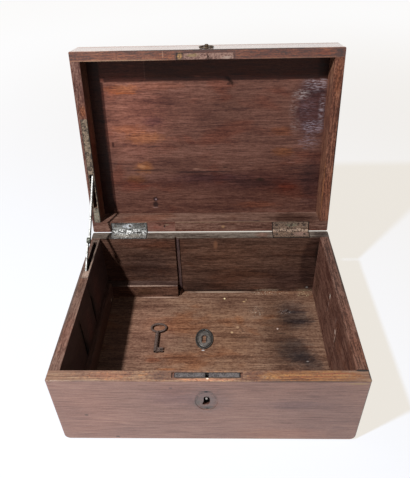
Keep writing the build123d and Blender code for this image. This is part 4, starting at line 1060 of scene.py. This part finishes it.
ring.location = inMetres(pullRing["centre"])
applyPlace()
knockAbout(ring, pullRing["wear"])
setDown(ring, "pullRing", "ring", ["ring_pull"], "darkBronze")

# the loose keyhole plate: pressed steel with a raised rim and a raised line round its middle
keyholePlate = {
    "centre": (-7.8, 16.7), "size": (23.5, 33.0), "under": 5.3, "thick": 1.55, "sides": 80,
    # how far in from the last line, and how far up or down
    "lines": (
        (0.5, 0.05), (0.9, 0), (0.6, -0.55), (1.5, -0.05), (0.5, 0.35), (0.5, 0.05), (0.5, -0.3), (1.2, 0.2),
    ),
    "eye": (-7.8, 19.6, 2.7), "eyeSides": 32,
    "foot": (-7.8, 14.8, 4.3, 10.0), "footFlare": 1.3, "footLean": -0.6,
    "nail": 0.75, "nailSides": 16, "nailsApart": 29.0,
    "wear": {"grid": 0.25, "eased": 1, "dents": 0.14, "dentSize": 1.2},
}
# a cutter reaches well past both faces, in metres; a face this square to an axis counts as facing it
cutterDepth = 0.02
facing = 0.9


def cutOut(piece, cutter):
    applyModifier(piece, "BOOLEAN", {"operation": "DIFFERENCE", "object": cutter, "solver": "EXACT"})
    bpy.data.objects.remove(cutter)


def cutRound(piece, x, y, z, radius, sides):
    cylinder = bpy.ops.mesh.primitive_cylinder_add
    cutOut(piece, addShape(cylinder, vertices=sides, radius=radius, depth=cutterDepth, location=(x, y, z)))


def selectFaces(piece, wanted):
    switchTo("EDIT")
    bpy.ops.mesh.select_mode(type="FACE")
    bpy.ops.mesh.select_all(action="DESELECT")
    switchTo("OBJECT")
    for face in piece.data.polygons:
        face.select = wanted(face)
    switchTo("EDIT")


middle = inMetres((*keyholePlate["centre"], keyholePlate["under"] + keyholePlate["thick"] / 2))
plate = addShape(
    bpy.ops.mesh.primitive_cylinder_add, vertices=keyholePlate["sides"], radius=0.5, depth=1, location=middle,
    scale=inMetres((*keyholePlate["size"], keyholePlate["thick"])),
)
applyPlace()
selectFaces(plate, lambda face: face.normal.z > facing)
for inward, up in keyholePlate["lines"]:
    bpy.ops.mesh.inset(thickness=inward / 1000)
    bpy.ops.transform.translate(value=(0, 0, up / 1000))
switchTo("OBJECT")
x, y, radius = inMetres(keyholePlate["eye"])
cutRound(plate, x, y, middle[2], radius, keyholePlate["eyeSides"])
x, y, width, length = inMetres(keyholePlate["foot"])
foot = addShape(
    bpy.ops.mesh.primitive_cube_add, size=1, location=(x, y, middle[2]), scale=(width, length, cutterDepth)
)
applyPlace()
selectFaces(foot, lambda face: face.normal.y < -facing)
bpy.ops.transform.resize(value=(keyholePlate["footFlare"], 1, 1), center_override=(x, y, middle[2]))
bpy.ops.transform.translate(value=(keyholePlate["footLean"] / 1000, 0, 0))
switchTo("OBJECT")
cutOut(plate, foot)
for side in (-1, 1):
    y = middle[1] + side * keyholePlate["nailsApart"] / 2000
    cutRound(plate, middle[0], y, middle[2], keyholePlate["nail"] / 1000, keyholePlate["nailSides"])
knockAbout(plate, keyholePlate["wear"])
setDown(plate, "keyholePlate", "escutcheon", ["escutcheon"], "plateSteel")
print("ring, rivet and keyhole plate done")

# a white paper floor: it shows near white, and keeps the object's shadow as a pale warm grey
paper = {
    "size": 9.0, "albedo": "#d8dade", "shade": "#667894", "glow": "#eae4da", "far": "#f9f7f4",
    "middle": (0.3, 0.1, 0.0), "near": 0.45, "beyond": 1.7,
}


def straightOn(tree):
    # 1 for what the camera sees, straight on or in a gloss
    path = addNode(tree, "LightPath")
    return calculate(tree, "MAXIMUM", path.outputs["Is Camera Ray"], path.outputs["Is Glossy Ray"])


floor = addShape(bpy.ops.mesh.primitive_plane_add, size=paper["size"], location=(0, 0, 0))
floor.name = "floor"
material, tree = newMaterial("paperFloor")
plain = addNode(tree, "BsdfDiffuse", {"Color": toLinear(paper["albedo"])})
shade = addNode(tree, "BsdfDiffuse", {"Color": toLinear(paper["shade"])})
spot = addNode(tree, "TexCoord").outputs["Object"]
away = vectorMath(tree, "DISTANCE", spot, paper["middle"], "Value")
lift = fadeBetween(tree, away, paper["near"], paper["beyond"])
glow = addNode(tree, "Emission", {}, {"Color": blendColour(tree, lift, paper["glow"], paper["far"])})
both = addNode(tree, "AddShader", {}, {0: shade.outputs[0], 1: glow.outputs[0]})
shader = addNode(tree, "MixShader", {}, {0: straightOn(tree), 1: plain.outputs[0], 2: both.outputs[0]})
addNode(tree, "OutputMaterial", {}, {"Surface": shader.outputs[0]})
floor.data.materials.append(material)

# light: one small lamp at the front left, and an even white room
lampSetup = {"place": (-0.53, -0.445, 1.09), "towards": (0.0, 0.0, 0.1), "size": 0.06, "power": 19.8}
roomSetup = {"fill": 0.10, "seen": "#fafbfb"}

bpy.ops.object.light_add(type="AREA", location=lampSetup["place"])
lamp = bpy.context.object
aim = Vector(lampSetup["towards"]) - Vector(lampSetup["place"])
lamp.rotation_euler = aim.to_track_quat("-Z", "Y").to_euler()
lamp.data.shape = "DISK"
lamp.data.size = lampSetup["size"]
lamp.data.energy = lampSetup["power"]

world = bpy.data.worlds.new("room")
bpy.context.scene.world = world
world.use_nodes = True
tree = world.node_tree
tree.nodes.clear()
fill = addNode(tree, "Background", {"Color": (1, 1, 1, 1), "Strength": roomSetup["fill"]})
white = addNode(tree, "Background", {"Color": toLinear(roomSetup["seen"]), "Strength": 1.0})
mixed = addNode(tree, "MixShader", {}, {0: straightOn(tree), 1: fill.outputs[0], 2: white.outputs[0]})
addNode(tree, "OutputWorld", {}, {"Surface": mixed.outputs[0]})
print("light done")

cameraSetup = {
    "place": (0.01357, -0.3992, 0.5128), "turn": 1.97, "down": 36.37, "roll": -1.64,
    "lens": 36.23, "sensor": 36, "shift": (-0.0023, -0.0467), "far": 50,
}
bpy.ops.object.camera_add(location=cameraSetup["place"])
camera = bpy.context.object
turn = Matrix.Rotation(radians(cameraSetup["turn"]), 4, "Z")
tip = Matrix.Rotation(radians(90 - cameraSetup["down"]), 4, "X")
roll = Matrix.Rotation(radians(cameraSetup["roll"]), 4, "Z")
camera.rotation_euler = (turn @ tip @ roll).to_euler()
camera.data.sensor_fit = "VERTICAL"
camera.data.sensor_height = cameraSetup["sensor"]
camera.data.lens = cameraSetup["lens"]
camera.data.shift_x, camera.data.shift_y = cameraSetup["shift"]
camera.data.clip_end = cameraSetup["far"]
bpy.context.scene.camera = camera
bpy.context.scene.view_settings.view_transform = "Standard"
print("camera done")
